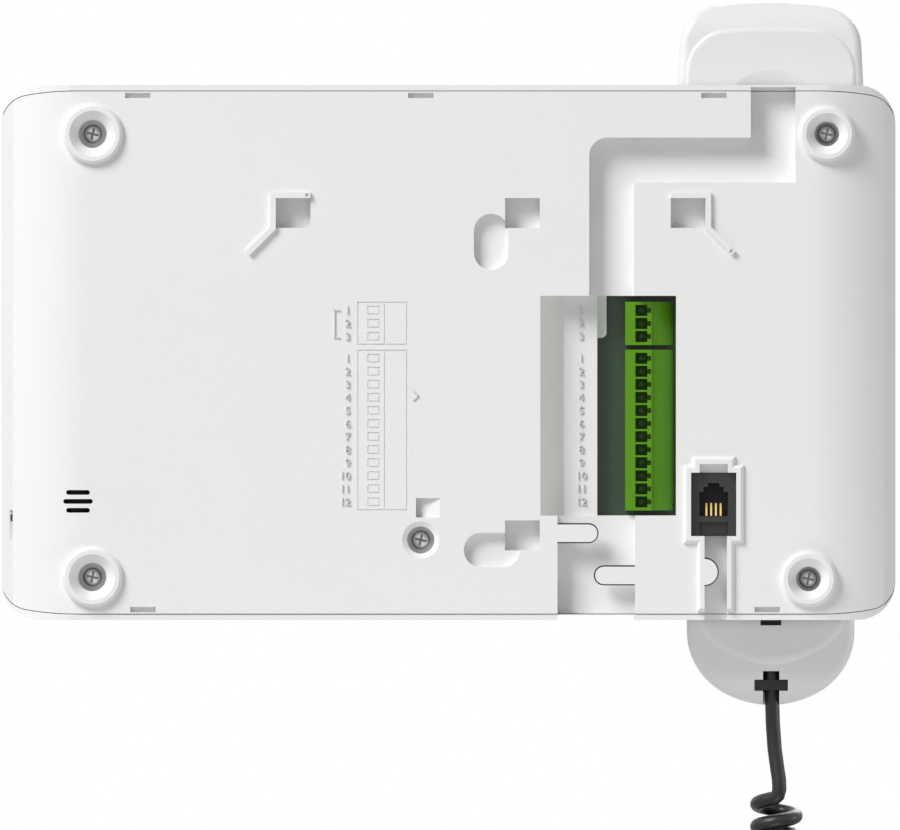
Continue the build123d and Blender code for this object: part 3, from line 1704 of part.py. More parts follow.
with BuildPart() as handset_cord:
    with BuildLine() as cord_path:
        curl_in, heading_in = curl_place(0)
        curl_out, heading_out = curl_place(curl_count)
        bend_in = curl_in - heading_in * bend_run
        bend_out = curl_out + heading_out * bend_run
        cord_end = bend_out + Vector(0, 0, -tail_length)
        lead_radius = fillet_radius(cord_route[0], cord_route[1], bend_in)
        FilletPolyline(*cord_route, bend_in, curl_in, radius=[lead_radius, bend_radius])
        for half in range(round(2 * curl_count)):
            biarc(*curl_place(half / 2), *curl_place((half + 1) / 2))
        FilletPolyline(curl_out, bend_out, cord_end, radius=bend_radius)
    with BuildSketch(Plane(origin=cord_route[0], z_dir=(0, 0, -1))):
        Circle(cord_radius)
    sweep(path=cord_path.line)
handset_cord.part.label = "handset_cord"
export_step(handset_cord.part, "parts/handset_cord.step")

# Measures of the cord: its length, its radii, its least gap to itself and its volume
cord_wire = cord_path.wire()
cord_length = cord_wire.length
sample_step = 1.0
sample_count = round(cord_length / sample_step)
samples = [cord_wire.position_at(index / sample_count) for index in range(sample_count + 1)]
skip = round(3 * cord_radius * math.pi / sample_step)
least_gap = min(
    (samples[later] - samples[first]).length - 2 * cord_radius
    for first in range(len(samples))
    for later in range(first + skip, len(samples))
)
tube_volume = math.pi * cord_radius * cord_radius * cord_length
print(f"cord length {cord_length:.1f} mm, end at {cord_end.X:.2f} {cord_end.Y:.2f} {cord_end.Z:.2f}")
print(f"cord radii: lead {lead_radius:.2f}, bends {bend_radius:.2f}, curls {curl_radius:.2f} mm")
print(f"least gap of the cord to itself {least_gap:.2f} mm")
print(f"cord volume {handset_cord.part.volume:.0f} mm3, section times length {tube_volume:.0f} mm3")

# Plug on the cord's free end
cord_plug_depth = 6.6
cord_plug_length = 12.0
latch_width = 3.0
latch_thick = 0.8
latch_drop = 9.0
latch_lift = 2.4
blade_height = 3.0
blade_sink = 1.2

with BuildPart() as cord_plug:
    plug_y = cord_end.Y
    plug_top = cord_end.Z
    with BuildSketch(Plane.XY.offset(plug_top - cord_plug_length)) as section:
        with Locations((cord_end.X, plug_y)):
            Rectangle(plug_width, cord_plug_depth)
    extrude(section.sketch, amount=cord_plug_length)
    chamfer(cord_plug.edges().filter_by(Axis.Z), latch_thick / 2)
    latch_y = plug_y - cord_plug_depth / 2
    with BuildSketch(Plane.YZ.offset(cord_end.X - latch_width / 2)) as latch:
        with BuildLine():
            Polyline(
                (latch_y + latch_thick, plug_top - cord_plug_length),
                (latch_y, plug_top - cord_plug_length),
                (latch_y - latch_lift, plug_top - cord_plug_length + latch_drop),
                (latch_y - latch_lift + latch_thick, plug_top - cord_plug_length + latch_drop),
                (latch_y + latch_thick, plug_top - cord_plug_length + latch_drop / 4),
                close=True,
            )
        make_face()
    extrude(latch.sketch, amount=latch_width)
    for contact in range(contact_count):
        x = cord_end.X + (contact - (contact_count - 1) / 2) * contact_pitch
        with BuildSketch(Plane.XY.offset(plug_top - cord_plug_length)) as groove:
            with Locations((x, plug_y + (cord_plug_depth - blade_sink) / 2)):
                Rectangle(contact_width + slide_gap, blade_sink)
        extrude(groove.sketch, amount=blade_height, mode=Mode.SUBTRACT)
cord_plug.part.label = "cord_plug"
export_step(cord_plug.part, "parts/cord_plug.step")

with BuildPart() as cord_plug_contacts:
    for contact in range(contact_count):
        x = cord_end.X + (contact - (contact_count - 1) / 2) * contact_pitch
        with BuildSketch(Plane.XY.offset(plug_top - cord_plug_length)) as blade:
            with Locations((x, plug_y + cord_plug_depth / 2 - 2 * blade_sink / 3)):
                Rectangle(contact_width, 2 * blade_sink / 3)
        extrude(blade.sketch, amount=blade_height)
cord_plug_contacts.part.label = "cord_plug_contacts"
export_step(cord_plug_contacts.part, "parts/cord_plug_contacts.step")
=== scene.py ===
import bpy
import math
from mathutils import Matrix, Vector


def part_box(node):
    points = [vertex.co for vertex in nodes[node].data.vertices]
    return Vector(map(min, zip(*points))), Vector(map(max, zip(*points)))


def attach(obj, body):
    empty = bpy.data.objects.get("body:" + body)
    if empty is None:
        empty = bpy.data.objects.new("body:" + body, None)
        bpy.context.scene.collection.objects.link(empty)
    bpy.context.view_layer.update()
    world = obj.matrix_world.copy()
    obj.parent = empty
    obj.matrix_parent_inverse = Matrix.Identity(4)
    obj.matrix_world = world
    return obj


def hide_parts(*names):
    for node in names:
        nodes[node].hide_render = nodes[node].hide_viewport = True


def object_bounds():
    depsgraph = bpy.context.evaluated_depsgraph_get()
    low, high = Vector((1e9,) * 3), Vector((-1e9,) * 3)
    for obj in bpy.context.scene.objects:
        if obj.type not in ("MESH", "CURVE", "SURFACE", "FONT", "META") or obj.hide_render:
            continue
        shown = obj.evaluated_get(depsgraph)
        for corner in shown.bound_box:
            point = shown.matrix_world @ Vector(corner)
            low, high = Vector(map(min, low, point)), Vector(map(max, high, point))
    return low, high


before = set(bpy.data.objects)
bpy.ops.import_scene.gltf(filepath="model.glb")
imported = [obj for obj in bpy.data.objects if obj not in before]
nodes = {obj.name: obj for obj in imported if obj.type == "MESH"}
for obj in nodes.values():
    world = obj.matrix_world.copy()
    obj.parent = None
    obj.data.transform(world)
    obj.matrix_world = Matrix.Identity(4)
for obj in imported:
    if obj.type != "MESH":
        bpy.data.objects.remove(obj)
cadLow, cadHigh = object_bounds()
mm = 0.001

# Camera: it looks at the back, along -Y, so the picture's right is -X
cameraSetup = {
    "middleX": -0.4 * mm,
    "middleZ": -16.75 * mm,
    "viewWidth": 241.2 * mm,
    "sensor": 36.0,  # millimetres, as Blender's lens is
    "lens": 1200.0,
    "clipShares": (0.5, 3.0),  # of the distance to the object
}


def addCamera(setup):
    distance = setup["viewWidth"] * setup["lens"] / setup["sensor"]
    bpy.ops.object.camera_add(
        location=(setup["middleX"], distance, setup["middleZ"]),
        rotation=(math.radians(90), 0, math.radians(180)),
    )
    camera = bpy.context.object
    camera.name = "backCamera"
    camera.data.sensor_width = setup["sensor"]
    camera.data.lens = setup["lens"]
    nearShare, farShare = setup["clipShares"]
    camera.data.clip_start = distance * nearShare
    camera.data.clip_end = distance * farShare
    bpy.context.scene.camera = camera


addCamera(cameraSetup)
print("camera placed")

# Curly cord: a lead down from the handset, then a helix that tightens to a steady pitch
cordSetup = {
    "diameter": 3.9 * mm,
    "length": 1039 * mm,
    "exit": (-86.9 * mm, -31 * mm, -94.7 * mm),
    "lead": [(-86.9, -31.0, -82.0), (-86.9, -31.0, -103.5)],
    "axisX": -88.25,
    "axisY": -35.0,
    "radius": 5.25,
    "top": -120.3,
    "startAngle": 60.0,
    "turns": 29.5,
    "pitch": 4.6,
    "firstPitch": 7.0,
    "pitchFade": 1.2,
    "bendRun": 5.0,
    "tail": 14.0,
    "pointsPerTurn": 16,
    "stepsPerPoint": 4,
    "sides": 6,
    "order": 3,
}


def curlPlace(setup, turn):
    angle = math.radians(setup["startAngle"]) - 2 * math.pi * turn
    fade = math.exp(-turn / setup["pitchFade"])
    easing = (setup["firstPitch"] - setup["pitch"]) * setup["pitchFade"] * (1 - fade)
    pitch = setup["pitch"] + (setup["firstPitch"] - setup["pitch"]) * fade
    place = Vector((
        setup["axisX"] + setup["radius"] * math.cos(angle),
        setup["axisY"] + setup["radius"] * math.sin(angle),
        setup["top"] - setup["pitch"] * turn - easing,
    ))
    around = 2 * math.pi * setup["radius"]
    heading = Vector((around * math.sin(angle), -around * math.cos(angle), -pitch)).normalized()
    return place, heading


def addCord(setup):
    curlIn, headingIn = curlPlace(setup, 0)
    curlOut, headingOut = curlPlace(setup, setup["turns"])
    bendOut = curlOut + headingOut * setup["bendRun"]
    points = [Vector(point) for point in setup["lead"]]
    points.append(curlIn - headingIn * setup["bendRun"])
    steps = round(setup["turns"] * setup["pointsPerTurn"])
    for step in range(steps + 1):
        points.append(curlPlace(setup, step / setup["pointsPerTurn"])[0])
    points.append(bendOut)
    points.append(bendOut + Vector((0, 0, -setup["tail"])))
    curve = bpy.data.curves.new("curly_cord", "CURVE")
    curve.dimensions = "3D"
    curve.bevel_depth = 1.0  # each point's radius gives the sheath's own
    curve.bevel_resolution = setup["sides"]
    curve.use_fill_caps = True
    line = curve.splines.new("NURBS")
    line.points.add(len(points) - 1)
    for spot, point in zip(line.points, points):
        spot.co = (*(point * mm), 1)
        spot.radius = setup["diameter"] / 2
    line.order_u = setup["order"]
    line.use_endpoint_u = True
    line.resolution_u = setup["stepsPerPoint"]
    cord = bpy.data.objects.new("curly_cord", curve)
    bpy.context.scene.collection.objects.link(cord)
    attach(cord, "handset")
    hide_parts("handset_cord")
    return cord


cord = addCord(cordSetup)
print("cord laid")

# Shader node groups: each one is built once, and every finish places it with its own values
noiseSetup = {
    "grainDetail": 3,
    "grainRoughness": 0.6,
    "flowDetail": 2,
    "patchDetail": 4,
    "speckDetail": 2,
    "glossRange": (0.3, 0.7),
    "bumpStrength": 0.6,
}


def newGroup(name, inputs, outputs):
    group = bpy.data.node_groups.new(name, "ShaderNodeTree")
    for label, kind, value in inputs:
        socket = group.interface.new_socket(name=label, in_out="INPUT", socket_type=kind)
        if value is not None:
            socket.default_value = value
    for label, kind in outputs:
        group.interface.new_socket(name=label, in_out="OUTPUT", socket_type=kind)
    start = group.nodes.new("NodeGroupInput")
    end = group.nodes.new("NodeGroupOutput")
    end.location = (900, 0)
    return group, start, end


def addNode(tree, kind, place=(0, 0), **settings):
    node = tree.nodes.new(kind)
    node.location = place
    for key, value in settings.items():
        setattr(node, key, value)
    return node


def makeMouldGrain():
    inputs = [
        ("Vector", "NodeSocketVector", None),
        ("Grain Size", "NodeSocketFloat", 2600.0),
        ("Flow Size", "NodeSocketFloat", 60.0),
        ("Flow Share", "NodeSocketFloat", 0.25),
    ]
    outputs = [("Height", "NodeSocketFloat"), ("Gloss", "NodeSocketFloat")]
    group, start, end = newGroup("mouldGrain", inputs, outputs)
    grain = addNode(group, "ShaderNodeTexNoise", (200, 200))
    grain.inputs["Detail"].default_value = noiseSetup["grainDetail"]
    grain.inputs["Roughness"].default_value = noiseSetup["grainRoughness"]
    flow = addNode(group, "ShaderNodeTexNoise", (200, -100))
    flow.inputs["Detail"].default_value = noiseSetup["flowDetail"]
    mix = addNode(group, "ShaderNodeMix", (500, 100), data_type="FLOAT")
    links = group.links
    links.new(start.outputs["Vector"], grain.inputs["Vector"])
    links.new(start.outputs["Grain Size"], grain.inputs["Scale"])
    links.new(start.outputs["Vector"], flow.inputs["Vector"])
    links.new(start.outputs["Flow Size"], flow.inputs["Scale"])
    links.new(start.outputs["Flow Share"], mix.inputs[0])
    links.new(grain.outputs["Fac"], mix.inputs[2])
    links.new(flow.outputs["Fac"], mix.inputs[3])
    links.new(mix.outputs[0], end.inputs["Height"])
    links.new(flow.outputs["Fac"], end.inputs["Gloss"])
    return group


def makeToneDrift():
    inputs = [
        ("Vector", "NodeSocketVector", None),
        ("Color", "NodeSocketColor", (0.8, 0.8, 0.8, 1)),
        ("Drift Color", "NodeSocketColor", (0.7, 0.7, 0.7, 1)),
        ("Patch Size", "NodeSocketFloat", 40.0),
        ("Speck Size", "NodeSocketFloat", 900.0),
    ]
    group, start, end = newGroup("toneDrift", inputs, [("Color", "NodeSocketColor")])
    patches = addNode(group, "ShaderNodeTexNoise", (200, 200))
    patches.inputs["Detail"].default_value = noiseSetup["patchDetail"]
    specks = addNode(group, "ShaderNodeTexNoise", (200, -100))
    specks.inputs["Detail"].default_value = noiseSetup["speckDetail"]
    product = addNode(group, "ShaderNodeMath", (400, 0), operation="MULTIPLY")
    blend = addNode(group, "ShaderNodeMix", (650, 0), data_type="RGBA")
    links = group.links
    for texture, size in ((patches, "Patch Size"), (specks, "Speck Size")):
        links.new(start.outputs["Vector"], texture.inputs["Vector"])
        links.new(start.outputs[size], texture.inputs["Scale"])
    links.new(patches.outputs["Fac"], product.inputs[0])
    links.new(specks.outputs["Fac"], product.inputs[1])
    links.new(product.outputs[0], blend.inputs[0])
    links.new(start.outputs["Color"], blend.inputs[6])
    links.new(start.outputs["Drift Color"], blend.inputs[7])
    links.new(blend.outputs[2], end.inputs["Color"])
    return group


def makeRoughDrift():
    inputs = [
        ("Gloss", "NodeSocketFloat", 0.5),
        ("Low", "NodeSocketFloat", 0.4),
        ("High", "NodeSocketFloat", 0.5),
    ]
    group, start, end = newGroup("roughDrift", inputs, [("Roughness", "NodeSocketFloat")])
    spread = addNode(group, "ShaderNodeMapRange", (300, 0))
    low, high = noiseSetup["glossRange"]
    spread.inputs["From Min"].default_value = low
    spread.inputs["From Max"].default_value = high
    links = group.links
    links.new(start.outputs["Gloss"], spread.inputs["Value"])
    links.new(start.outputs["Low"], spread.inputs["To Min"])
    links.new(start.outputs["High"], spread.inputs["To Max"])
    links.new(spread.outputs["Result"], end.inputs["Roughness"])
    return group


# Painted shade: the colour turns towards a darker one as the surface lies deeper along -Y, between Top and
# Bottom
def makeRecessShade():
    inputs = [
        ("Vector", "NodeSocketVector", None),
        ("Color", "NodeSocketColor", (0.5, 0.5, 0.5, 1)),
        ("Recess Color", "NodeSocketColor", (0.05, 0.05, 0.05, 1)),
        ("Top", "NodeSocketFloat", 0.0),
        ("Bottom", "NodeSocketFloat", -0.001),
    ]
    group, start, end = newGroup("recessShade", inputs, [("Color", "NodeSocketColor")])
    split = addNode(group, "ShaderNodeSeparateXYZ", (200, 0))
    fall = addNode(group, "ShaderNodeMapRange", (400, 0), interpolation_type="SMOOTHSTEP")
    blend = addNode(group, "ShaderNodeMix", (650, 0), data_type="RGBA")
    links = group.links
    links.new(start.outputs["Vector"], split.inputs[0])
    links.new(split.outputs["Y"], fall.inputs["Value"])
    links.new(start.outputs["Top"], fall.inputs["From Min"])
    links.new(start.outputs["Bottom"], fall.inputs["From Max"])
    links.new(fall.outputs["Result"], blend.inputs[0])
    links.new(start.outputs["Color"], blend.inputs[6])
    links.new(start.outputs["Recess Color"], blend.inputs[7])
    links.new(blend.outputs[2], end.inputs["Color"])
    return group


mouldGrain = makeMouldGrain()
toneDrift = makeToneDrift()
roughDrift = makeRoughDrift()
recessShade = makeRecessShade()
print("node groups built")

# Finishes, one for each kind of surface: colours are linear, grain sizes are per metre
finishes = {
    "whiteShell": {
        "color": (0.86, 0.86, 0.855), "drift": (0.83, 0.83, 0.825), "roughness": (0.42, 0.5),
        "grain": 2600.0, "bump": 0.006, "specular": 0.3,
    },
    "handsetShell": {
        "color": (0.81, 0.81, 0.808), "drift": (0.78, 0.78, 0.778), "roughness": (0.3, 0.38),
        "grain": 3200.0, "bump": 0.003, "specular": 0.35,
    },
    "greyPart": {
        "color": (0.5, 0.5, 0.5), "drift": (0.45, 0.45, 0.45), "roughness": (0.45, 0.55),
        "grain": 2400.0, "bump": 0.006,
    },
    "blackPart": {
        "color": (0.02, 0.02, 0.021), "drift": (0.03, 0.03, 0.03), "roughness": (0.38, 0.5),
        "grain": 2400.0, "bump": 0.006,
    },
    "blackSheath": {
        "color": (0.005, 0.005, 0.0048), "drift": (0.008, 0.008, 0.0077), "roughness": (0.33, 0.43),
        "grain": 1800.0, "bump": 0.01,
    },
    "greyPad": {
        "color": (0.3, 0.3, 0.3), "drift": (0.26, 0.26, 0.26), "roughness": (0.7, 0.85),
        "grain": 1500.0, "bump": 0.02,
    },
    "terminalGreen": {
        "color": (0.098, 0.3, 0.005), "drift": (0.085, 0.265, 0.004), "roughness": (0.36, 0.44),
        "grain": 2200.0, "bump": 0.005, "specular": 0.3,
    },
    "boardMask": {
        "color": (0.035, 0.062, 0.038), "drift": (0.05, 0.085, 0.05), "roughness": (0.3, 0.4),
        "grain": 900.0, "bump": 0.008,
    },
    "screwSteel": {
        "color": (0.4, 0.4, 0.41), "drift": (0.28, 0.28, 0.29), "roughness": (0.24, 0.36),
        "grain": 3000.0, "bump": 0.008, "metallic": 1.0,
    },
    "casingScrew": {
        "color": (0.8, 0.8, 0.81), "drift": (0.6, 0.6, 0.61), "roughness": (0.3, 0.42),
        "grain": 3000.0, "bump": 0.006, "metallic": 0.85,
        # painted shade: below the crown the head's colour turns darker, standing in for shade in the cross
        # recess and round its edge
        "recess": {"color": (0.22, 0.22, 0.225), "top": -5.0, "bottom": -5.6},
    },
    "castBar": {
        "color": (0.22, 0.22, 0.23), "drift": (0.14, 0.14, 0.15), "roughness": (0.55, 0.75),
        "grain": 1300.0, "bump": 0.06, "metallic": 1.0,
    },
    "contactGold": {
        "color": (0.86, 0.62, 0.24), "drift": (0.78, 0.54, 0.2), "roughness": (0.22, 0.32),
        "grain": 3000.0, "bump": 0.004, "metallic": 1.0,
    },
    "ringerFilm": {
        "color": (0.02, 0.02, 0.021), "drift": (0.03, 0.03, 0.03), "roughness": (0.5, 0.6),
        "grain": 1400.0, "bump": 0.006,
    },
    "shadedClamp": {
        "color": (0.09, 0.27, 0.011), "drift": (0.06, 0.2, 0.008), "roughness": (0.45, 0.6),
        "grain": 1600.0, "bump": 0.01,
    },
    "panelBlack": {
        "color": (0.008, 0.009, 0.012), "drift": (0.012, 0.013, 0.017), "roughness": (0.12, 0.18),
        "grain": 4000.0, "bump": 0.001,
    },
    "clearPlug": {
        "color": (0.8, 0.82, 0.83), "drift": (0.75, 0.77, 0.78), "roughness": (0.1, 0.18),
        "grain": 1200.0, "bump": 0.003, "transmission": 0.85,
    },
    "smokedWindow": {
        "color": (0.05, 0.05, 0.055), "drift": (0.06, 0.06, 0.066), "roughness": (0.03, 0.06),
        "grain": 600.0, "bump": 0.0005, "transmission": 0.6,
    },
    "printedGrey": {
        "color": (0.16, 0.16, 0.165), "drift": (0.2, 0.2, 0.205), "roughness": (0.5, 0.6),
        "grain": 2600.0, "bump": 0.004,
    },
    # painted shade: the raised marks are the white shell's plastic, greyed to stand in for the shade round
    # their relief
    "markPaintedShade": {
        "color": (0.66, 0.66, 0.655), "drift": (0.62, 0.62, 0.615), "roughness": (0.45, 0.52),
        "grain": 2600.0, "bump": 0.004, "specular": 0.3,
    },
}


def makeFinish(name, look):
    material = bpy.data.materials.new(name)
    material.use_nodes = True
    tree = material.node_tree
    shader = tree.nodes["Principled BSDF"]
    shader.inputs["Metallic"].default_value = look.get("metallic", 0.0)
    shader.inputs["Transmission Weight"].default_value = look.get("transmission", 0.0)
    shader.inputs["Specular IOR Level"].default_value = look.get("specular", 0.5)
    place = addNode(tree, "ShaderNodeTexCoord", (-1100, 0))
    grain = addNode(tree, "ShaderNodeGroup", (-850, -200), node_tree=mouldGrain)
    grain.inputs["Grain Size"].default_value = look["grain"]
    tone = addNode(tree, "ShaderNodeGroup", (-600, 200), node_tree=toneDrift)
    tone.inputs["Color"].default_value = (*look["color"], 1)
    tone.inputs["Drift Color"].default_value = (*look["drift"], 1)
    rough = addNode(tree, "ShaderNodeGroup", (-600, -50), node_tree=roughDrift)
    low, high = look["roughness"]
    rough.inputs["Low"].default_value = low
    rough.inputs["High"].default_value = high
    bump = addNode(tree, "ShaderNodeBump", (-350, -250))
    bump.inputs["Strength"].default_value = noiseSetup["bumpStrength"]
    bump.inputs["Distance"].default_value = look["bump"] * mm
    links = tree.links
    links.new(place.outputs["Object"], grain.inputs["Vector"])
    links.new(place.outputs["Object"], tone.inputs["Vector"])
    if "recess" in look:  # painted shade: the head turns darker deeper than its crown, in the cross recess and round its edge
        recess = addNode(tree, "ShaderNodeGroup", (-350, 200), node_tree=recessShade)
        recess.inputs["Recess Color"].default_value = (*look["recess"]["color"], 1)
        recess.inputs["Top"].default_value = look["recess"]["top"] * mm
        recess.inputs["Bottom"].default_value = look["recess"]["bottom"] * mm
        links.new(place.outputs["Object"], recess.inputs["Vector"])
        links.new(tone.outputs["Color"], recess.inputs["Color"])
        links.new(recess.outputs["Color"], shader.inputs["Base Color"])
    else:
        links.new(tone.outputs["Color"], shader.inputs["Base Color"])
    links.new(grain.outputs["Gloss"], rough.inputs["Gloss"])
    links.new(rough.outputs["Roughness"], shader.inputs["Roughness"])
    links.new(grain.outputs["Height"], bump.inputs["Height"])
    links.new(bump.outputs["Normal"], shader.inputs["Normal"])
    return material


materials = {name: makeFinish(name, look) for name, look in finishes.items()}

# What each node of the frame is finished in
nodeFinish = {
    "whiteShell": "back_cover front_frame call_button door_button monitor_button light_button",
    "handsetShell": "handset_outer_shell handset_inner_shell",
    "greyPart": "hook_plunger",
    "blackPart": "line_jack volume_knob volume_switch hook_switch tact_switches receiver_capsule "
    "microphone_capsule control_chips power_components ringer",
    "blackSheath": "handset_cord cord_strain_relief",
    "greyPad": "cradle_pads",
    "terminalGreen": "terminal_block_mains terminal_block_lines",
    "boardMask": "main_board button_board",
    "casingScrew": "casing_screws centre_screw",
    "screwSteel": "board_screws button_board_screws handset_screws hook_spring",
    "castBar": "handset_weight",
    "contactGold": "line_jack_contacts cord_plug_contacts",
    "ringerFilm": "ringer_diaphragm",
    "shadedClamp": "terminal_clamps",
    "panelBlack": "display_panel",
    "clearPlug": "cord_plug",
    "smokedWindow": "display_window",
}


def dress(piece, finish):
    piece.data.materials.clear()
    piece.data.materials.append(materials[finish])


for finish, names in nodeFinish.items():
    for name in names.split():
        dress(nodes[name], finish)
dress(cord, "blackSheath")
print("finishes given to", sum(len(names.split()) for names in nodeFinish.values()), "nodes")


# Raised marks on the back: plain numbers beside each wire, a bracket and an arrow, in a greyer white that
# is painted shade
markSetup = {
    "pitch": 3.5,
    "mainsWays": 3,
    "mainsMiddle": 7.8,
    "lineWays": 12,
    "lineMiddle": -20.8,
    "numberSize": 2.9,
    "raise": 0.4,
    "sink": 0.1,
    "ledgeX": -35.6,
    "ledgeDepth": 7.5,
    "legendEdgeX": 26.3,
    "bracketX": (30.5, 29.2),
    "bracketZ": (11.3, 3.9),
    "arrowX": (9.4, 8.1),
    "arrowZ": (-10.4, -11.6, -12.8),
    "strokeWidth": 0.34,
    "strokeBevel": 0.06,
    "bevelSteps": 2,
    "curveSteps": 4,
}


def wayPlaces(ways, middle, pitch):
    return [middle + ((ways - 1) / 2 - way) * pitch for way in range(ways)]


def deselectAll():
    if bpy.context.object and bpy.context.object.mode != "OBJECT":
        bpy.ops.object.mode_set(mode="OBJECT")
    bpy.ops.object.select_all(action="DESELECT")


def addNumber(text, x, z, depth, setup, align):
    deselectAll()
    bpy.ops.object.text_add(
        location=(x * mm, (setup["raise"] / 2 - depth) * mm, z * mm),
        rotation=(math.radians(90), 0, math.radians(180)),
    )
    number = bpy.context.object
    number.data.body = text
    number.data.size = setup["numberSize"] * mm
    number.data.extrude = (setup["raise"] / 2 + setup["sink"]) * mm
    number.data.resolution_u = setup["curveSteps"]
    number.data.align_x = align
    number.data.align_y = "CENTER"
    bpy.ops.object.convert(target="MESH")
    bpy.ops.object.transform_apply(location=True, rotation=True, scale=True)
    return number


def joinPieces(parts, name):
    deselectAll()
    for part in parts:
        part.select_set(True)
    bpy.context.view_layer.objects.active = parts[0]
    bpy.ops.object.join()
    joined = bpy.context.object
    joined.name = name
    joined.data.name = name
    return joined


def addNumbers(name, x, depth, setup, align):
    parts = []
    blocks = [(setup["mainsWays"], setup["mainsMiddle"]), (setup["lineWays"], setup["lineMiddle"])]
    for ways, middle in blocks:
        for way, z in enumerate(wayPlaces(ways, middle, setup["pitch"])):
            parts.append(addNumber(str(way + 1), x, z, depth, setup, align))
    numbers = joinPieces(parts, name)
    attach(numbers, "station")
    dress(numbers, "markPaintedShade")
    return numbers


addNumbers("ledge_numbers", markSetup["ledgeX"], markSetup["ledgeDepth"], markSetup, "CENTER")
addNumbers("legend_numbers", markSetup["legendEdgeX"], 0, markSetup, "RIGHT")


def addStroke(start, end, face, lift, setup):
    run = Vector(end) - Vector(start)
    middle = (Vector(start) + Vector(end)) / 2
    thick = setup["raise"] + setup["sink"]
    deselectAll()
    bpy.ops.mesh.primitive_cube_add(
        size=1,
        location=(middle.x * mm, (face + lift * (setup["raise"] - thick / 2)) * mm, middle.y * mm),
        rotation=(0, -math.atan2(run.y, run.x), 0),
        scale=((run.length + setup["strokeWidth"]) * mm, thick * mm, setup["strokeWidth"] * mm),
    )
    bpy.ops.object.transform_apply(location=True, rotation=True, scale=True)
    bpy.ops.object.mode_set(mode="EDIT")
    bpy.ops.mesh.select_all(action="SELECT")
    bpy.ops.mesh.bevel(offset=setup["strokeBevel"] * mm, segments=setup["bevelSteps"])
    bpy.ops.object.mode_set(mode="OBJECT")
    return bpy.context.object


def addLine(points, face, lift, setup):
    return [addStroke(start, end, face, lift, setup) for start, end in zip(points, points[1:])]


def addBackMarks(setup):
    outer, inner = setup["bracketX"]
    top, low = setup["bracketZ"]
    corners = [(inner, top), (outer, top), (outer, low), (inner, low)]
    tail, tip = setup["arrowX"]
    barbs = [(tail, setup["arrowZ"][0]), (tip, setup["arrowZ"][1]), (tail, setup["arrowZ"][2])]
    marks = joinPieces(addLine(corners, 0, 1, setup) + addLine(barbs, 0, 1, setup), "legend_marks")
    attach(marks, "station")
    dress(marks, "markPaintedShade")


addBackMarks(markSetup)
print("raised marks made")

# Signs on the front buttons: lines in millimetres from the button's middle, and round parts
signSetup = {
    "raise": 0.22,
    "sink": 0.15,
    "strokeWidth": 0.42,
    "strokeBevel": 0.08,
    "bevelSteps": 2,
    "ringSteps": 40,
    "wireSteps": 12,
    "lines": {
        "call": [
            [(-2.3, -1.5), (-1.7, -0.9), (-1.6, 0.6), (-1.0, 1.7), (0, 2.1)],
            [(0, 2.1), (1.0, 1.7), (1.6, 0.6), (1.7, -0.9), (2.3, -1.5), (-2.3, -1.5)],
            [(0, 2.1), (0, 2.7)],
        ],
        "door": [
            [(-0.5, 0), (3.1, 0)],
            [(2.9, 0), (2.9, -1.1)],
            [(1.8, 0), (1.8, -0.8)],
        ],
        "monitor": [
            [(-2.7, -1.2), (-2.7, 2.2), (2.7, 2.2), (2.7, -1.2), (-2.7, -1.2)],
            [(0, -1.2), (0, -2.2)],
            [(-1.3, -2.3), (1.3, -2.3)],
        ],
        "light": [
            [(-0.8, -1.0), (-0.8, -1.8), (0.8, -1.8), (0.8, -1.0)],
            [(-0.6, -2.5), (0.6, -2.5)],
        ],
    },
    "rings": {
        "call": [(0, -2.2, 0.35)],
        "door": [(-1.9, 0, 1.25)],
        "monitor": [],
        "light": [(0, 0.7, 1.75)],
    },
}


def addRing(x, z, radius, face, setup):
    deselectAll()
    bpy.ops.mesh.primitive_torus_add(
        location=(x * mm, face * mm, z * mm),
        rotation=(math.radians(90), 0, 0),
        major_radius=radius * mm,
        minor_radius=setup["strokeWidth"] / 2 * mm,
        major_segments=setup["ringSteps"],
        minor_segments=setup["wireSteps"],
    )
    bpy.ops.object.transform_apply(location=True, rotation=True, scale=True)
    bpy.ops.object.mode_set(mode="EDIT")
    bpy.ops.mesh.select_all(action="SELECT")
    bpy.ops.mesh.normals_make_consistent(inside=False)
    bpy.ops.object.mode_set(mode="OBJECT")
    bpy.ops.object.shade_smooth()
    return bpy.context.object


def addSign(name, setup):
    low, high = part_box(name + "_button")
    middleX = (low[0] + high[0]) / 2 / mm
    middleZ = (low[2] + high[2]) / 2 / mm
    face = low[1] / mm
    parts = []
    for line in setup["lines"][name]:
        points = [(middleX + x, middleZ + z) for x, z in line]
        parts += addLine(points, face, -1, setup)
    for x, z, radius in setup["rings"][name]:
        parts.append(addRing(middleX + x, middleZ + z, radius, face, setup))
    sign = joinPieces(parts, name + "_sign")
    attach(sign, name)
    dress(sign, "printedGrey")


for name in signSetup["lines"]:
    addSign(name, signSetup)
print("button signs made")

# Studio: a soft key from the picture's upper left, weak lamps at the side, below the handset's mouth
# end and in front, a pale floor that fades out away from the object, and a white surround
studioSetup = {
    "keyPlace": (1.62, 1.6, 1.93),
    "keySize": 1.3,
    "keyPower": 86.0,
    "fillPlace": (-1.3, 0.1, 0.0),
    "fillSize": 0.6,
    "fillPower": 2.6,
    "lowPlace": (-0.09, 0.14, -0.32),
    "lowSize": 0.12,
    "lowPower": 0.16,
    "frontPlace": (-0.5, -1.3, 0.8),
    "frontSize": 0.9,
    "frontPower": 14.0,
    "ambient": 0.23,
    "floorDrop": 0.05,
    "floorSize": 12.0,
    "floorColor": (0.55, 0.55, 0.55, 1),
    "floorSeenColor": (0.92, 0.92, 0.92, 1),
    "floorFade": (0.35, 0.9),
    "floorRoughness": 0.9,
}


def addLamp(name, place, size, power):
    aim = Vector((0, 0, 0)) - Vector(place)
    bpy.ops.object.light_add(type="AREA", location=place, rotation=aim.to_track_quat("-Z", "Y").to_euler())
    lamp = bpy.context.object
    lamp.name = name
    lamp.data.size = size
    lamp.data.energy = power
    lamp.visible_camera = False


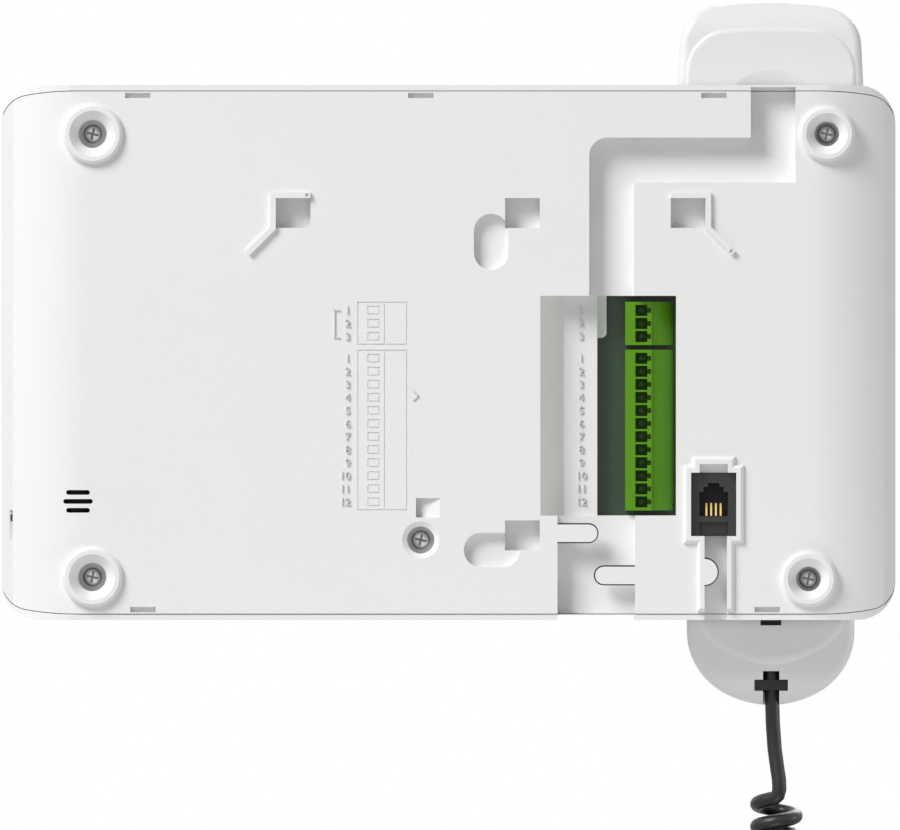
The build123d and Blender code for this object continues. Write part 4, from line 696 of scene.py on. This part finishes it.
def addWorld(strength):
    world = bpy.data.worlds.new("whiteSurround")
    bpy.context.scene.world = world
    world.use_nodes = True
    tree = world.node_tree
    ambient = tree.nodes["Background"]
    ambient.inputs["Color"].default_value = (1, 1, 1, 1)
    ambient.inputs["Strength"].default_value = strength
    seen = addNode(tree, "ShaderNodeBackground", (0, -200))
    seen.inputs["Color"].default_value = (1, 1, 1, 1)
    rays = addNode(tree, "ShaderNodeLightPath", (-600, 300))
    first = addNode(tree, "ShaderNodeMath", (-300, 300), operation="MAXIMUM")
    second = addNode(tree, "ShaderNodeMath", (-100, 300), operation="MAXIMUM")
    mix = addNode(tree, "ShaderNodeMixShader", (200, 0))
    links = tree.links
    links.new(rays.outputs["Is Camera Ray"], first.inputs[0])
    links.new(rays.outputs["Is Glossy Ray"], first.inputs[1])
    links.new(first.outputs[0], second.inputs[0])
    links.new(rays.outputs["Is Transmission Ray"], second.inputs[1])
    links.new(second.outputs[0], mix.inputs[0])
    links.new(ambient.outputs[0], mix.inputs[1])
    links.new(seen.outputs[0], mix.inputs[2])
    links.new(mix.outputs[0], tree.nodes["World Output"].inputs["Surface"])


def addFloor(setup):
    deselectAll()
    bpy.ops.mesh.primitive_plane_add(
        size=setup["floorSize"], location=(0, 0, cadLow.z - setup["floorDrop"])
    )
    floor = bpy.context.object
    floor.name = "paleFloor"
    material = bpy.data.materials.new("paleFloor")
    material.use_nodes = True
    tree = material.node_tree
    shader = tree.nodes["Principled BSDF"]
    shader.inputs["Roughness"].default_value = setup["floorRoughness"]
    rays = addNode(tree, "ShaderNodeLightPath", (-900, 0))
    tint = addNode(tree, "ShaderNodeMix", (-300, 0), data_type="RGBA")
    tint.inputs[6].default_value = setup["floorColor"]
    tint.inputs[7].default_value = setup["floorSeenColor"]
    under = addNode(tree, "ShaderNodeBsdfTransparent", (0, -300))
    side = addNode(tree, "ShaderNodeNewGeometry", (-300, 300))
    place = addNode(tree, "ShaderNodeTexCoord", (-1100, 600))
    reach = addNode(tree, "ShaderNodeVectorMath", (-900, 600), operation="LENGTH")
    fade = addNode(tree, "ShaderNodeMapRange", (-700, 600), interpolation_type="SMOOTHSTEP")
    near, far = setup["floorFade"]
    fade.inputs["From Min"].default_value = near
    fade.inputs["From Max"].default_value = far
    seen = addNode(tree, "ShaderNodeMath", (-300, 600), operation="MULTIPLY")
    clear = addNode(tree, "ShaderNodeMath", (0, 450), operation="MAXIMUM")
    mix = addNode(tree, "ShaderNodeMixShader", (400, 0))
    links = tree.links
    links.new(rays.outputs["Is Camera Ray"], tint.inputs[0])
    links.new(tint.outputs[2], shader.inputs["Base Color"])
    links.new(place.outputs["Object"], reach.inputs[0])
    links.new(reach.outputs["Value"], fade.inputs["Value"])
    links.new(fade.outputs["Result"], seen.inputs[0])
    links.new(rays.outputs["Is Camera Ray"], seen.inputs[1])
    links.new(seen.outputs[0], clear.inputs[0])
    links.new(side.outputs["Backfacing"], clear.inputs[1])
    links.new(clear.outputs[0], mix.inputs[0])
    links.new(shader.outputs[0], mix.inputs[1])
    links.new(under.outputs[0], mix.inputs[2])
    links.new(mix.outputs[0], tree.nodes["Material Output"].inputs["Surface"])
    floor.data.materials.append(material)


addLamp("keyLamp", studioSetup["keyPlace"], studioSetup["keySize"], studioSetup["keyPower"])
addLamp("fillLamp", studioSetup["fillPlace"], studioSetup["fillSize"], studioSetup["fillPower"])
addLamp("lowLamp", studioSetup["lowPlace"], studioSetup["lowSize"], studioSetup["lowPower"])
addLamp("frontLamp", studioSetup["frontPlace"], studioSetup["frontSize"], studioSetup["frontPower"])
addWorld(studioSetup["ambient"])
addFloor(studioSetup)
bpy.context.scene.view_settings.view_transform = "Standard"
print("studio lit")
